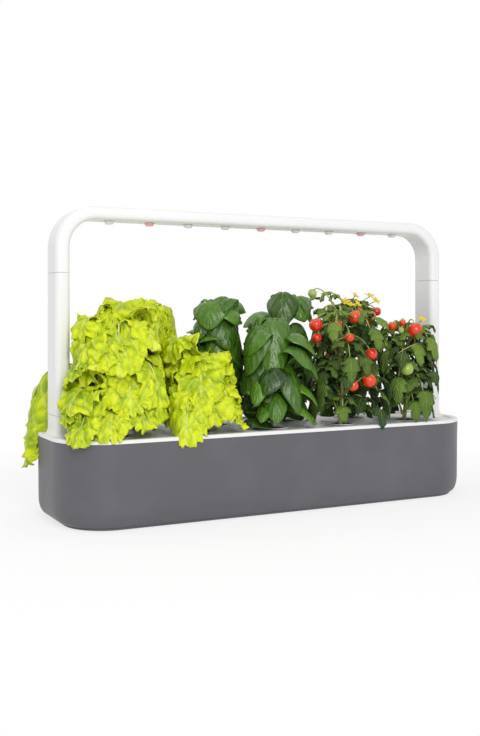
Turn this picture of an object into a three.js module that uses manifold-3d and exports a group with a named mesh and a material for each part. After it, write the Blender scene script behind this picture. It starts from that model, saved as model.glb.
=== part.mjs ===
// Countertop hydroponic garden: a water tank, a lid with nine plant cups, and a lamp arch on two posts.
// Lengths are millimetres, angles are degrees, +Z is up, and the origin is under the middle of the tank.

import * as THREE from 'three';
import { mergeVertices } from 'three/addons/utils/BufferGeometryUtils.js';
import Module from 'manifold-3d';

const wasm = await Module();
wasm.setup();

// Fits that all pieces share
const gap = 0.3; // between two pieces that touch
const overrun = 1; // how far a cut reaches past the face it opens
const cornerSteps = 5; // facets in each round corner of a moulded ring
const legSteps = 3; // facets in each round corner of a leg
const roundSides = 10; // facets round a turned piece

// Water tank
const tankLength = 610;
const tankDepth = 185;
const tankCorner = 66;
const tankTop = 104.3;
const tankWall = 2.6;
const tankFloor = 3.2;
const tankDraft = 1;
const tankLip = 0.6;
const hemEndInset = 13;
const hemSideInset = 6;
const hemCornerLoss = 10;
const hemRise = 21;
const hemSteps = 4;
const ringInset = 1.7; // the foot ring stands in from the hem
const ringHeight = 3.5;

// Rubber pads under the tank
const padRadius = 9;
const padHeight = 1.5;
const padStandOut = 0.8;
const padBevel = 0.4;
const padFromEnd = 62;
const padFromSide = 34;

// Lid
const lidStandOut = 4.9; // the lid's rim above the tank's
const lidEdge = 1.4;
const rimWidth = 9;
const rimSlope = 1.6;
const deckRecess = 2.8;
const deckThickness = 2.2;
const skirtDepth = 7.4;
const skirtThickness = 2;

// Cups and their growing medium, in two staggered rows
const podFromLeg = 66.4; // the outermost cups' distance from the legs, along the tank
const podRowOffset = 32;
const podCount = 9;
const cupFlangeRadius = 22.2;
const cupFlangeHeight = 1.6;
const cupRadius = 19.4;
const cupFootRadius = 15.8;
const cupWall = 1.2;
const cupDepth = 54;
const cupDrainRadius = 5;
const cupSlots = 4;
const cupSlotWidth = 5;
const cupSlotHeight = 22;
const cupSeatDepth = 1;
const cupFitClearance = 0.5;
const soilFill = 0.8; // how far the soil stays below the flange's top
const soilCrown = 1.2;
const plantHoleRadius = 3.5;
const plantHoleDepth = 7;

// Lamp legs: the same section in the lid's stubs, the posts and the arch's arms
const legFromEnd = 17;
const legThickness = 19;
const legDepth = 43;
const legCorner = 7;
const legWall = 2.2;
const stubHeight = 24.8;
const flareWidth = 6;
const flareHeight = 9;
const flareSteps = 3;
const tenonHeight = 21;
const tenonChamfer = 1;
const postLength = 177.3;
const boreHalfX = 3.2;
const boreHalfY = 8.2;
const boreFloorRise = 8.8; // above the lid's rim

// Lamp arch
const armStraight = 32.7;
const barThickness = 16.7;
const bendRadius = 52;
const bendSteps = 6;
const coverFromLeg = 56;
const coverHalfDepth = 13.5;
const coverCorner = 5;
const coverThickness = 1.8;
const ribSpacing = 6;
const ribThickness = 1.4;

// Lenses and boards
const lensCount = 9;
const lensBellRadius = 6.7;
const lensTipRadius = 4.6;
const lensDrop = 3.8;
const lensNeckRadius = 4.5;
const boardHeight = 5.2; // from the bar's underside
const boardThickness = 1.6;
const boardFromCoverEnd = 3;
const boardHalfDepth = 9;
const diodeSize = 4.2;
const diodeHeight = 0.9;
const timerLength = 80;
const timerThickness = 1.6;
const timerChips = 3;
const timerChipSize = 4;
const timerChipHeight = 1.4;
const timerFromEnd = 41;

// Power inlet and contacts
const inletRadius = 4.5;
const inletLength = 14;
const inletRise = 16.3; // above the lid's rim
const inletBoreRadius = 2.8;
const inletBoreDepth = 9;
const inletPinRadius = 1;
const inletPinShort = 1.5;
const contactBlockHeight = 10;
const contactProud = 0.6;
const leadThickness = 2.4;
const leadWidth = 8;
const leadSteps = 9;
const quarterArcShare = 0.5523; // where a quarter arc's handles lie

// Filler opening and water gauge
const gaugeFromEnd = 33;
const gaugeFromSide = 42.5;
const gaugeTubeRadius = 13;
const gaugeTubeWall = 1.6;
const gaugeTubeDepth = 58.2; // under the deck
const gaugeLip = 3.5;
const gaugeWindowWidth = 9;
const gaugeWindowHeight = 34;
const floatRadius = 12.2;
const floatHeight = 14;
const floatBevel = 3;
const floatStemRadius = 2.2;
const floatTipRadius = 5;
const floatTipHeight = 6;
const fillerFromGauge = 29;
const fillerHalfLength = 12;
const fillerHalfDepth = 9.5;

// Plants
const foliageRise = 1.2; // no leaf dips lower over the lid's rim
const foliageReach = 64; // how far leaves lean out over the long rims, from the stem
const endReach = 88; // towards the tank's end, past the leg's front
const trailingReach = 176; // the one lettuce leaf that trails out behind the left leg
const trailingPairTurn = 23; // how far the first pair's dividing wall turns to let it pass
const legWallAngle = 51.5;
const fillerReach = 60;
const neighbourGap = 0.5;
const crowdPower = 6;
const tallestPlant = 190;
const leafThickness = 2.2;
const lettuceReach = 96; // of its lowest leaves, before they meet a wall of their room
const lettuceCrownRadius = 9;
const ruffleRise = 5; // how far a ruffled rim waves up and down
const leavesPerWhorl = 5;
const pointsPerLeaf = 3; // round a whorl: the cleft beside each leaf and two on its tip
const crestReachShare = 0.55; // how far out a whorl's leaves arch over
const cleftShare = 0.5; // how far a cleft runs back from the rim to the crest
const basilLeafLength = 82;
const basilLeafWidth = 64;
const tomatoLeafLength = 92;
const tomatoLeafWidth = 74;
const fruitRadius = 10;
const fruitSides = 6;
const fruitRows = 3;
const stemRadius = 3.1;
const stemTipRadius = 1.6;
const stemSides = 5;
const stalkRadius = 1.2;
const stalkSides = 3;
const crownRise = 8;

// Derived sizes
const legGapHalf = gap / 2;
const lidTop = tankTop + lidStandOut;
const deckTop = lidTop - deckRecess;
const deckBottom = deckTop - deckThickness;
const legCentre = tankLength / 2 - legFromEnd;
const podPitch = (2 * (legCentre - podFromLeg)) / (podCount - 1);
const stubTop = lidTop + stubHeight;
const boreFloor = lidTop + boreFloorRise;
const inletHeight = lidTop + inletRise;
const postTop = stubTop + postLength;
const bendFoot = postTop + armStraight;
const archTop = bendFoot + bendRadius;
const coverHalfLength = legCentre - coverFromLeg;
const boardHalfLength = coverHalfLength - boardFromCoverEnd;
const timerStart = boardHalfLength - timerFromEnd - timerLength;
const gaugeX = tankLength / 2 - gaugeFromEnd;
const gaugeY = tankDepth / 2 - gaugeFromSide;
const gaugeTubeFoot = deckBottom - gaugeTubeDepth;
const fillerX = gaugeX - fillerFromGauge;
const foliageFloor = lidTop + foliageRise;
const lidBottom = tankTop + gap;
const skirtInset = tankWall + cupFitClearance;
const cupSeat = deckTop - cupSeatDepth;
const cupUnder = cupSeat + gap;
const cupTop = cupUnder + cupFlangeHeight;
const cupBottom = cupUnder - cupDepth;
const soilTop = cupTop - soilFill;
const barUnder = archTop - barThickness;
const boardUnder = barUnder + boardHeight;

// Finishes
function finish(colour, roughness, metalness = 0) {
  return { color: colour, roughness, metalness };
}
const tankGrey = finish(0x6c6a71, 0.45);
const rubberBlack = finish(0x242426, 0.9);
const lidWhite = finish(0xf3f2f0, 0.4);
const cupWhite = finish(0xe9e9e6, 0.5);
const soilBrown = finish(0x3a2a1e, 0.95);
const lensClear = finish(0xdfe0e2, 0.15);
const lensRed = finish(0xe8566a, 0.15);
const boardSilver = finish(0xb9bcc0, 0.4, 0.8);
const circuitGreen = finish(0x2f6b45, 0.6);
const contactBrass = finish(0xc8a24a, 0.35, 0.9);
const inletBlack = finish(0x1b1b1d, 0.5);
const floatWhite = finish(0xe2e4e6, 0.4);
const lettuceGreen = finish(0xa9cf2a, 0.6);
const basilGreen = finish(0x3d7a22, 0.5);
const tomatoGreen = finish(0x2f5a26, 0.65);

// Helpers: rings, lofts and turned shapes

// A level ring: a rectangle with round corners, counter-clockwise seen from above.
function ringAt(z, halfX, halfY, corner, steps = cornerSteps) {
  const ring = [];
  for (let quarter = 0; quarter < 4; quarter += 1) {
    const signX = quarter === 0 || quarter === 3 ? 1 : -1;
    const signY = quarter < 2 ? 1 : -1;
    for (let step = 0; step <= steps; step += 1) {
      const turn = ((quarter + step / steps) * Math.PI) / 2;
      ring.push(
        new THREE.Vector3(
          signX * (halfX - corner) + corner * Math.cos(turn),
          signY * (halfY - corner) + corner * Math.sin(turn),
          z,
        ),
      );
    }
  }
  return ring;
}

// The tank's plan outline drawn in by an inset on every side.
function outlineAt(z, inset) {
  return ringAt(z, tankLength / 2 - inset, tankDepth / 2 - inset, tankCorner - inset);
}

// The lamp leg's section drawn in by an inset.
function legRing(z, inset) {
  return ringAt(z, legThickness / 2 - inset, legDepth / 2 - inset, legCorner - inset, legSteps);
}

// A skin over rings of equal count: capped at both ends, or joined end to end where it is a tube.
function loft(rings, isTube = false) {
  const count = rings[0].length;
  const index = [];
  const lastRing = isTube ? rings.length : rings.length - 1;
  for (let k = 0; k < lastRing; k += 1) {
    const low = k * count;
    const high = ((k + 1) % rings.length) * count;
    for (let i = 0; i < count; i += 1) {
      const next = (i + 1) % count;
      index.push(low + i, low + next, high + next, low + i, high + next, high + i);
    }
  }
  if (!isTube) {
    const top = (rings.length - 1) * count;
    for (let i = 1; i < count - 1; i += 1) {
      index.push(0, i + 1, i, top, top + i, top + i + 1);
    }
  }
  const geometry = new THREE.BufferGeometry().setFromPoints(rings.flat());
  geometry.setIndex(index);
  return geometry;
}

// A profile of [radius, height] pairs turned about the vertical axis.
function turned(profile, sides = roundSides) {
  const points = profile.map(([radius, height]) => new THREE.Vector2(radius, height));
  return new THREE.LatheGeometry(points, sides).rotateX(Math.PI / 2);
}

// A box between two corners.
function boxBetween(low, high) {
  const size = high.map((value, axis) => value - low[axis]);
  const middle = high.map((value, axis) => (value + low[axis]) / 2);
  return new THREE.BoxGeometry(...size).translate(...middle);
}

// Helpers: joining and cutting

// A closed geometry as a solid, with shared corners merged and faces of no area dropped.
function solidOf(geometry) {
  const bare = new THREE.BufferGeometry();
  bare.setAttribute('position', geometry.getAttribute('position').clone());
  bare.setIndex(geometry.getIndex());
  const merged = mergeVertices(bare);
  const corners = [];
  const all = merged.getIndex().array;
  for (let i = 0; i < all.length; i += 3) {
    const [a, b, c] = [all[i], all[i + 1], all[i + 2]];
    if (a !== b && b !== c && c !== a) corners.push(a, b, c);
  }
  const mesh = new wasm.Mesh({
    numProp: 3,
    vertProperties: merged.getAttribute('position').array,
    triVerts: new Uint32Array(corners),
  });
  return new wasm.Manifold(mesh);
}

// The geometry of a solid.
function geometryOf(solid) {
  const { vertProperties, triVerts } = solid.getMesh();
  const geometry = new THREE.BufferGeometry();
  geometry.setAttribute('position', new THREE.BufferAttribute(vertProperties, 3));
  geometry.setIndex(new THREE.BufferAttribute(triVerts, 1));
  return geometry;
}

// One geometry with others joined to it and then others cut from it.
function shaped(base, { joined = [], cut = [] }) {
  let solid = solidOf(base);
  for (const piece of joined) solid = solid.add(solidOf(piece));
  for (const piece of cut) solid = solid.subtract(solidOf(piece));
  return geometryOf(solid);
}

// A named mesh with its own material.
function piece(name, geometry, look) {
  geometry.computeVertexNormals();
  const mesh = new THREE.Mesh(geometry, new THREE.MeshStandardMaterial(look));
  mesh.name = name;
  return mesh;
}

// Tank

// A ring of the tank's soft bottom edge: share 0 is where it starts on the wall, 1 where it ends.
function hemRing(share, wall, floor) {
  const turn = (share * Math.PI) / 2;
  const inward = 1 - Math.cos(turn);
  const z = padStandOut + ringHeight + hemRise * (1 - Math.sin(turn)) + floor;
  return ringAt(
    z,
    tankLength / 2 - tankDraft - wall - (hemEndInset - tankDraft) * inward,
    tankDepth / 2 - tankDraft - wall - (hemSideInset - tankDraft) * inward,
    tankCorner - tankDraft - wall - hemCornerLoss * inward,
  );
}

function footRing(z) {
  return ringAt(
    z,
    tankLength / 2 - hemEndInset - ringInset,
    tankDepth / 2 - hemSideInset - ringInset,
    tankCorner - hemCornerLoss - ringInset,
  );
}

const padPlaces = [
  ['foot_front_left', -1, -1],
  ['foot_front_right', 1, -1],
  ['foot_back_left', -1, 1],
  ['foot_back_right', 1, 1],
];

function padCentre(signX, signY) {
  const x = signX * (tankLength / 2 - padFromEnd);
  const y = signY * (tankDepth / 2 - padFromSide);
  return [x, y];
}

function tankGeometry() {
  const shares = Array.from({ length: hemSteps + 1 }, (unused, k) => k / hemSteps);
  const outerHem = shares.map((share) => hemRing(share, 0, 0)).reverse();
  const innerHem = shares.map((share) => hemRing(share, tankWall, tankFloor));
  const shell = loft([
    footRing(padStandOut),
    footRing(padStandOut + ringHeight),
    ...outerHem,
    outlineAt(tankTop - tankLip, 0),
    outlineAt(tankTop, tankLip),
    outlineAt(tankTop, tankWall),
    ...innerHem,
  ]);
  const recesses = padPlaces.map(([, signX, signY]) => {
    const [x, y] = padCentre(signX, signY);
    const recess = [
      [0, padStandOut - overrun],
      [padRadius + gap, padStandOut - overrun],
      [padRadius + gap, padHeight + gap],
      [0, padHeight + gap],
    ];
    return turned(recess).translate(x, y, 0);
  });
  return shaped(shell, { cut: recesses });
}

function padGeometry() {
  return turned([
    [0, 0],
    [padRadius - padBevel, 0],
    [padRadius, padBevel],
    [padRadius, padHeight],
    [0, padHeight],
  ]);
}

// Lid

// A leg stub: it flares out of the rim, rises to the joint and ends in the tenon that the post drops over.
function stubGeometry(signX) {
  const rings = [legRing(deckBottom + overrun, -flareWidth)];
  for (let step = 0; step <= flareSteps; step += 1) {
    const turn = ((step / flareSteps) * Math.PI) / 2;
    const width = flareWidth * (1 - Math.sin(turn));
    rings.push(legRing(lidTop + flareHeight * (1 - Math.cos(turn)), -width));
  }
  const tenonInset = legWall + gap;
  rings.push(
    legRing(stubTop, 0),
    legRing(stubTop, tenonInset),
    legRing(stubTop + tenonHeight - tenonChamfer, tenonInset),
    legRing(stubTop + tenonHeight, tenonInset + tenonChamfer),
  );
  return loft(rings).translate(signX * legCentre, 0, 0);
}

// The bore that carries the contacts up through a tenon.
function boreGeometry(signX, low, high) {
  const centre = signX * legCentre;
  return boxBetween([centre - boreHalfX, -boreHalfY, low], [centre + boreHalfX, boreHalfY, high]);
}

// A round pocket along Y for the power inlet, open at the leg's back face.
function inletAlongY(profile) {
  return new THREE.LatheGeometry(
    profile.map(([radius, depth]) => new THREE.Vector2(radius, depth)),
    roundSides,
  ).translate(legCentre, legDepth / 2 - inletLength - gap, inletHeight);
}

// The tube under the filler that guides the float, with two windows and a lip that stops it.
function gaugeTube() {
  const outer = gaugeTubeRadius + gaugeTubeWall;
  return turned([
    [gaugeTubeRadius - gaugeLip, gaugeTubeFoot],
    [outer, gaugeTubeFoot],
    [outer, deckBottom + deckThickness / 2],
    [gaugeTubeRadius, deckBottom + deckThickness / 2],
    [gaugeTubeRadius, gaugeTubeFoot + gaugeTubeWall],
    [gaugeTubeRadius - gaugeLip, gaugeTubeFoot + gaugeTubeWall],
    [gaugeTubeRadius - gaugeLip, gaugeTubeFoot],
  ]).translate(gaugeX, gaugeY, 0);
}

function gaugeWindow() {
  const reach = gaugeTubeRadius + gaugeTubeWall + overrun;
  const foot = gaugeTubeFoot + gaugeTubeWall + gaugeLip;
  return boxBetween(
    [gaugeX - gaugeWindowWidth / 2, gaugeY - reach, foot],
    [gaugeX + gaugeWindowWidth / 2, gaugeY + reach, foot + gaugeWindowHeight],
  );
}

// A hole in the deck for one cup, with the shallow seat its flange rests in.
function cupHole(x, y) {
  const bore = cupRadius + cupFitClearance;
  const seat = cupFlangeRadius + cupFitClearance;
  return turned([
    [0, deckBottom - overrun],
    [bore, deckBottom - overrun],
    [bore, cupSeat],
    [seat, cupSeat],
    [seat, deckTop + overrun],
    [0, deckTop + overrun],
  ]).translate(x, y, 0);
}

function fillerSlot() {
  const level = (z) => ringAt(z, fillerHalfLength, fillerHalfDepth, fillerHalfDepth - gap, legSteps);
  return loft([level(deckBottom - overrun), level(deckTop + overrun)]).translate(fillerX, gaugeY, 0);
}

function gaugeHole() {
  return turned([
    [0, deckBottom - overrun],
    [gaugeTubeRadius, deckBottom - overrun],
    [gaugeTubeRadius, deckTop + overrun],
    [0, deckTop + overrun],
  ]).translate(gaugeX, gaugeY, 0);
}

function lidGeometry(pods) {
  const tray = loft([
    outlineAt(deckBottom, skirtInset + skirtThickness),
    outlineAt(tankTop - skirtDepth, skirtInset + skirtThickness),
    outlineAt(tankTop - skirtDepth, skirtInset),
    outlineAt(lidBottom, skirtInset),
    outlineAt(lidBottom, 0),
    outlineAt(lidTop - lidEdge, 0),
    outlineAt(lidTop - lidEdge / 3, lidEdge / 3),
    outlineAt(lidTop, lidEdge),
    outlineAt(lidTop, rimWidth),
    outlineAt(deckTop, rimWidth + rimSlope),
  ]);
  const inletPocket = inletAlongY([
    [0, -gap],
    [inletRadius + gap, -gap],
    [inletRadius + gap, inletLength + gap + overrun],
    [0, inletLength + gap + overrun],
  ]);
  const boreTop = stubTop + tenonHeight + overrun;
  return shaped(tray, {
    joined: [stubGeometry(-1), stubGeometry(1), gaugeTube()],
    cut: [
      ...pods.map(({ x, y }) => cupHole(x, y)),
      boreGeometry(-1, boreFloor, boreTop),
      boreGeometry(1, boreFloor, boreTop),
      inletPocket,
      fillerSlot(),
      gaugeHole(),
      gaugeWindow(),
    ],
  });
}

// Cups and growing medium

function cupGeometry() {
  const shell = turned([
    [cupDrainRadius, cupBottom],
    [cupFootRadius, cupBottom],
    [cupRadius, cupUnder],
    [cupFlangeRadius, cupUnder],
    [cupFlangeRadius, cupTop],
    [cupRadius - cupWall, cupTop],
    [cupFootRadius - cupWall, cupBottom + cupWall],
    [cupDrainRadius, cupBottom + cupWall],
    [cupDrainRadius, cupBottom],
  ]);
  const slotFoot = cupBottom + cupWall + cupWall;
  const slots = [];
  for (let k = 0; k < cupSlots / 2; k += 1) {
    const slot = boxBetween(
      [-cupRadius - overrun, -cupSlotWidth / 2, slotFoot],
      [cupRadius + overrun, cupSlotWidth / 2, slotFoot + cupSlotHeight],
    );
    slots.push(slot.rotateZ(((k + 1 / 2) * Math.PI * 2) / cupSlots));
  }
  return shaped(shell, { cut: slots });
}

function soilGeometry() {
  const foot = cupBottom + cupWall + gap;
  const footRadius = cupFootRadius - cupWall - cupFitClearance;
  const topRadius = cupRadius - cupWall - cupFitClearance;
  return turned([
    [0, foot],
    [footRadius, foot],
    [topRadius, soilTop - soilCrown],
    [plantHoleRadius, soilTop],
    [plantHoleRadius, soilTop - plantHoleDepth],
    [0, soilTop - plantHoleDepth],
  ]);
}

// Posts

// A tube that drops over the tenon below it and ends in a tenon of its own, bored for the contacts.
function postGeometry() {
  const tenonInset = legWall + gap;
  const bore = (z) => ringAt(z, boreHalfX, boreHalfY, gap, legSteps);
  const shoulder = postTop - legGapHalf;
  return loft(
    [
      legRing(stubTop + gap, 0),
      legRing(shoulder, 0),
      legRing(shoulder, tenonInset),
      legRing(shoulder + tenonHeight - tenonChamfer, tenonInset),
      legRing(shoulder + tenonHeight, tenonInset + tenonChamfer),
      bore(shoulder + tenonHeight),
      bore(shoulder - legWall),
      legRing(shoulder - legWall, legWall),
      legRing(stubTop + gap, legWall),
    ],
    true,
  );
}

// Lamp arch

// The outer and inner points of the arch's section, from the left arm over the bar to the right arm.
function archStations() {
  const stations = [];
  const outerX = legCentre + legThickness / 2;
  const innerX = legCentre - legThickness / 2;
  const innerBend = bendRadius - barThickness;
  for (const side of [-1, 1]) {
    const turns = [];
    for (let step = 0; step <= bendSteps; step += 1) {
      const turn = ((step / bendSteps) * Math.PI) / 2;
      turns.push({
        outerX: side * (outerX - bendRadius + bendRadius * Math.cos(turn)),
        outerZ: bendFoot + bendRadius * Math.sin(turn),
        innerX: side * (innerX - innerBend + innerBend * Math.cos(turn)),
        innerZ: barUnder - innerBend + innerBend * Math.sin(turn),
      });
    }
    const foot = postTop + legGapHalf;
    turns.unshift({ outerX: side * outerX, outerZ: foot, innerX: side * innerX, innerZ: foot });
    stations.push(...(side < 0 ? turns : turns.reverse()));
  }
  return stations;
}

// The arch's section at one station, drawn in by an inset.
function archRing({ outerX, outerZ, innerX, innerZ }, inset) {
  const inward = new THREE.Vector3(innerX - outerX, 0, innerZ - outerZ);
  const thickness = inward.length();
  inward.normalize();
  const middle = new THREE.Vector3((outerX + innerX) / 2, 0, (outerZ + innerZ) / 2);
  const flat = ringAt(0, thickness / 2 - inset, legDepth / 2 - inset, legCorner - inset, legSteps);
  return flat.map((point) =>
    middle.clone().addScaledVector(inward, point.x).setY(point.y),
  );
}

function archGeometry() {
  const stations = archStations();
  const outer = stations.map((station) => archRing(station, 0));
  const inner = stations.map((station) => archRing(station, legWall)).reverse();
  const ceiling = archTop - legWall;
  const ribs = [-1, 1].map((sign) =>
    boxBetween(
      [-boardHalfLength, sign * ribSpacing - ribThickness / 2, boardUnder + boardThickness + gap],
      [boardHalfLength, sign * ribSpacing + ribThickness / 2, ceiling + legWall / 2],
    ),
  );
  const slot = loft([
    ringAt(barUnder - overrun, coverHalfLength + gap, coverHalfDepth + gap, coverCorner + gap),
    ringAt(barUnder + legWall + overrun, coverHalfLength + gap, coverHalfDepth + gap, coverCorner + gap),
  ]);
  return shaped(loft([...outer, ...inner], true), { joined: ribs, cut: [slot] });
}

function lensCentres() {
  return Array.from({ length: lensCount }, (unused, k) => (k - (lensCount - 1) / 2) * podPitch);
}

function coverGeometry() {
  const plate = loft([
    ringAt(barUnder, coverHalfLength, coverHalfDepth, coverCorner),
    ringAt(barUnder + coverThickness, coverHalfLength, coverHalfDepth, coverCorner),
  ]);
  const holes = lensCentres().map((x) =>
    turned([
      [0, barUnder - overrun],
      [lensNeckRadius + gap, barUnder - overrun],
      [lensNeckRadius + gap, barUnder + coverThickness + overrun],
      [0, barUnder + coverThickness + overrun],
    ]).translate(x, 0, 0),
  );
  return shaped(plate, { cut: holes });
}

// A lens: a flared bell under the cover and a neck through it, up to the diode.
function lensGeometry() {
  const bellTop = barUnder - gap;
  const neckTop = boardUnder - diodeHeight - gap;
  return turned([
    [0, bellTop - lensDrop],
    [lensTipRadius, bellTop - lensDrop],
    [lensBellRadius, bellTop],
    [lensNeckRadius, bellTop],
    [lensNeckRadius, neckTop],
    [0, neckTop],
  ]);
}

function ledBoardGeometry() {
  const board = boxBetween(
    [-boardHalfLength, -boardHalfDepth, boardUnder],
    [boardHalfLength, boardHalfDepth, boardUnder + boardThickness],
  );
  const diodes = lensCentres().map((x) =>
    boxBetween(
      [x - diodeSize / 2, -diodeSize / 2, boardUnder - diodeHeight],
      [x + diodeSize / 2, diodeSize / 2, boardUnder + boardThickness / 2],
    ),
  );
  return shaped(board, { joined: diodes });
}

// The timer board stands on the lamp board's back, against one of the arch's ribs.
function timerBoardGeometry() {
  const near = ribSpacing + ribThickness / 2 + gap;
  const foot = boardUnder + boardThickness + gap;
  const head = archTop - legWall - gap;
  const board = boxBetween(
    [timerStart, near, foot],
    [timerStart + timerLength, near + timerThickness, head],
  );
  const chips = Array.from({ length: timerChips }, (unused, k) => {
    const x = timerStart + (timerLength * (k + 1)) / (timerChips + 1);
    const z = (foot + head) / 2;
    return boxBetween(
      [x - timerChipSize, near + timerThickness / 2, z - timerChipSize / 2],
      [x + timerChipSize, near + timerThickness + timerChipHeight, z + timerChipSize / 2],
    );
  });
  return shaped(board, { joined: chips });
}

// Power inlet and contacts

function inletGeometry() {
  const boreFoot = inletLength - inletBoreDepth;
  return inletAlongY([
    [0, 0],
    [inletRadius, 0],
    [inletRadius, inletLength],
    [inletBoreRadius, inletLength],
    [inletBoreRadius, boreFoot],
    [inletPinRadius, boreFoot],
    [inletPinRadius, inletLength - inletPinShort],
    [0, inletLength - inletPinShort],
  ]);
}

// A contact block that fills the bore, between two heights.
function contactBlock(low, high, backY = boreHalfY - gap) {
  const halfX = boreHalfX - gap;
  const frontY = -(boreHalfY - gap);
  return boxBetween([legCentre - halfX, frontY, low], [legCentre + halfX, backY, high]);
}

function leadBetween(low, high) {
  return boxBetween(
    [legCentre - leadThickness / 2, -leadWidth / 2, low],
    [legCentre + leadThickness / 2, leadWidth / 2, high],
  );
}

const baseContactTop = stubTop + tenonHeight + contactProud;
const postContactTop = postTop - legGapHalf + tenonHeight + contactProud;

function baseContactGeometry() {
  const inletBack = legDepth / 2 - inletLength - gap;
  return contactBlock(boreFloor + gap, baseContactTop, inletBack - gap);
}

function postContactGeometry() {
  const low = baseContactTop + gap;
  const topBlockFoot = postContactTop - contactBlockHeight - tenonHeight;
  return shaped(contactBlock(low, low + contactBlockHeight), {
    joined: [
      leadBetween(low + contactBlockHeight - overrun, topBlockFoot + overrun),
      contactBlock(topBlockFoot, postContactTop),
    ],
  });
}

// The arch's contact: a block over the post's, and a flat lead round the bend to the lamp board's end.
function archContactGeometry() {
  const leadZ = boardUnder + boardThickness / 2;
  const foot = new THREE.Vector3(legCentre, 0, bendFoot - overrun);
  const rise = new THREE.Vector3(legCentre, 0, bendFoot);
  const bent = new THREE.Vector3(legCentre + legThickness / 2 - bendRadius, 0, leadZ);
  const path = new THREE.CurvePath();
  path.add(new THREE.LineCurve3(foot, rise));
  path.add(
    new THREE.CubicBezierCurve3(
      rise,
      rise.clone().setZ(THREE.MathUtils.lerp(rise.z, leadZ, quarterArcShare)),
      bent.clone().setX(THREE.MathUtils.lerp(bent.x, rise.x, quarterArcShare)),
      bent,
    ),
  );
  path.add(new THREE.LineCurve3(bent, new THREE.Vector3(boardHalfLength + gap, 0, leadZ)));
  const halfWidth = leadWidth / 2;
  const halfThickness = leadThickness / 2;
  const section = new THREE.Shape([
    new THREE.Vector2(-halfWidth, -halfThickness),
    new THREE.Vector2(halfWidth, -halfThickness),
    new THREE.Vector2(halfWidth, halfThickness),
    new THREE.Vector2(-halfWidth, halfThickness),
  ]);
  const lead = new THREE.ExtrudeGeometry(section, { steps: leadSteps, extrudePath: path });
  return shaped(contactBlock(postContactTop + gap, bendFoot), { joined: [lead] });
}

// Water gauge

function floatGeometry() {
  const foot = gaugeTubeFoot + gaugeTubeWall + gap;
  const head = foot + floatHeight;
  const tipFoot = deckTop - floatTipHeight;
  return turned([
    [0, foot],
    [floatRadius - floatBevel, foot],
    [floatRadius, foot + floatBevel],
    [floatRadius, head - floatBevel],
    [floatStemRadius, head],
    [floatStemRadius, tipFoot],
    [floatTipRadius, tipFoot + floatStemRadius / 2],
    [floatTipRadius, deckTop - floatStemRadius / 2],
    [0, deckTop],
  ]).translate(gaugeX, gaugeY, 0);
}

// Pods: where each cup stands and how far its leaves may reach before they meet what is beside them

function podPlace(index) {
  const isFront = index % 2 === 0;
  const x = (index - (podCount - 1) / 2) * podPitch;
  return { index, isFront, x, y: isFront ? -podRowOffset : podRowOffset };
}

// A wall of a plant's room: an outward direction and its distance from the stem.
function wall(x, y, reach) {
  const length = Math.hypot(x, y);
  return { x: x / length, y: y / length, reach };
}

// The wall halfway between two neighbouring plants, seen from the first of them.
function wallBetween(pod, other) {
  const left = Math.min(pod.index, other.index);
  const turn = left === 0 ? THREE.MathUtils.degToRad(trailingPairTurn) : 0;
  const across = new THREE.Vector2(other.x - pod.x, other.y - pod.y);
  const half = across.clone().divideScalar(2);
  const outward = across.rotateAround(new THREE.Vector2(), turn).normalize();
  return wall(outward.x, outward.y, half.dot(outward) - neighbourGap);
}

// The slanted wall that keeps an end plant clear of the nearest leg's flared foot.
function wallAtLeg(pod) {
  const side = Math.sign(pod.x);
  const angle = THREE.MathUtils.degToRad(legWallAngle);
  const outward = new THREE.Vector2(side * Math.cos(angle), Math.sin(angle));
  const corner = new THREE.Vector2(
    side * (legCentre - legThickness / 2 + legCorner) - pod.x,
    -(legDepth / 2 - legCorner) - pod.y,
  );
  return wall(outward.x, outward.y, corner.dot(outward) - legCorner - flareWidth - neighbourGap);
}

function roomOf(pod) {
  const last = podCount - 1;
  const walls = [wall(0, pod.isFront ? -1 : 1, foliageReach)];
  for (const other of [pods[pod.index - 1], pods[pod.index + 1]]) {
    if (other) walls.push(wallBetween(pod, other));
  }
  for (const side of [-1, 1]) {
    const hasRowMate = pods[pod.index + 2 * side] !== undefined;
    if (hasRowMate) walls.push(wall(side, 0, podPitch - neighbourGap));
  }
  if (pod.index === 0) walls.push(wall(-1, 0, endReach), wallAtLeg(pod));
  if (pod.index === 1) walls.push(wall(-1, 0, trailingReach));
  if (pod.index === last - 1) walls.push(wall(1, 0, fillerReach));
  if (pod.index === last) walls.push(wall(1, 0, endReach), wallAtLeg(pod));
  return walls;
}

const pods = Array.from({ length: podCount }, (unused, index) => podPlace(index));

// Leaves press together towards the walls of their room and never pass them.
function crowded(point, pod) {
  const radius = Math.hypot(point.x, point.y);
  if (radius === 0) return point;
  let limit = Infinity;
  for (const { x, y, reach } of roomOf(pod)) {
    const facing = (x * point.x + y * point.y) / radius;
    if (facing > 0) limit = Math.min(limit, reach / facing);
  }
  const squeeze = (1 + (radius / limit) ** crowdPower) ** (-1 / crowdPower);
  return point.setX(point.x * squeeze).setY(point.y * squeeze);
}

// Leaves

// Half the blade's width at a share of its length, as a share of half its greatest width.
const bladeShares = {
  lettuce: (share) => Math.sin(Math.PI * share ** 1.35) ** 0.6,
  basil: (share) => Math.sin(Math.PI * share ** 0.85) ** 0.8,
  tomato: (share) => Math.sin(Math.PI * share ** 0.8) * (1 + Math.cos(share * Math.PI * 6) / 3),
};

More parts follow.
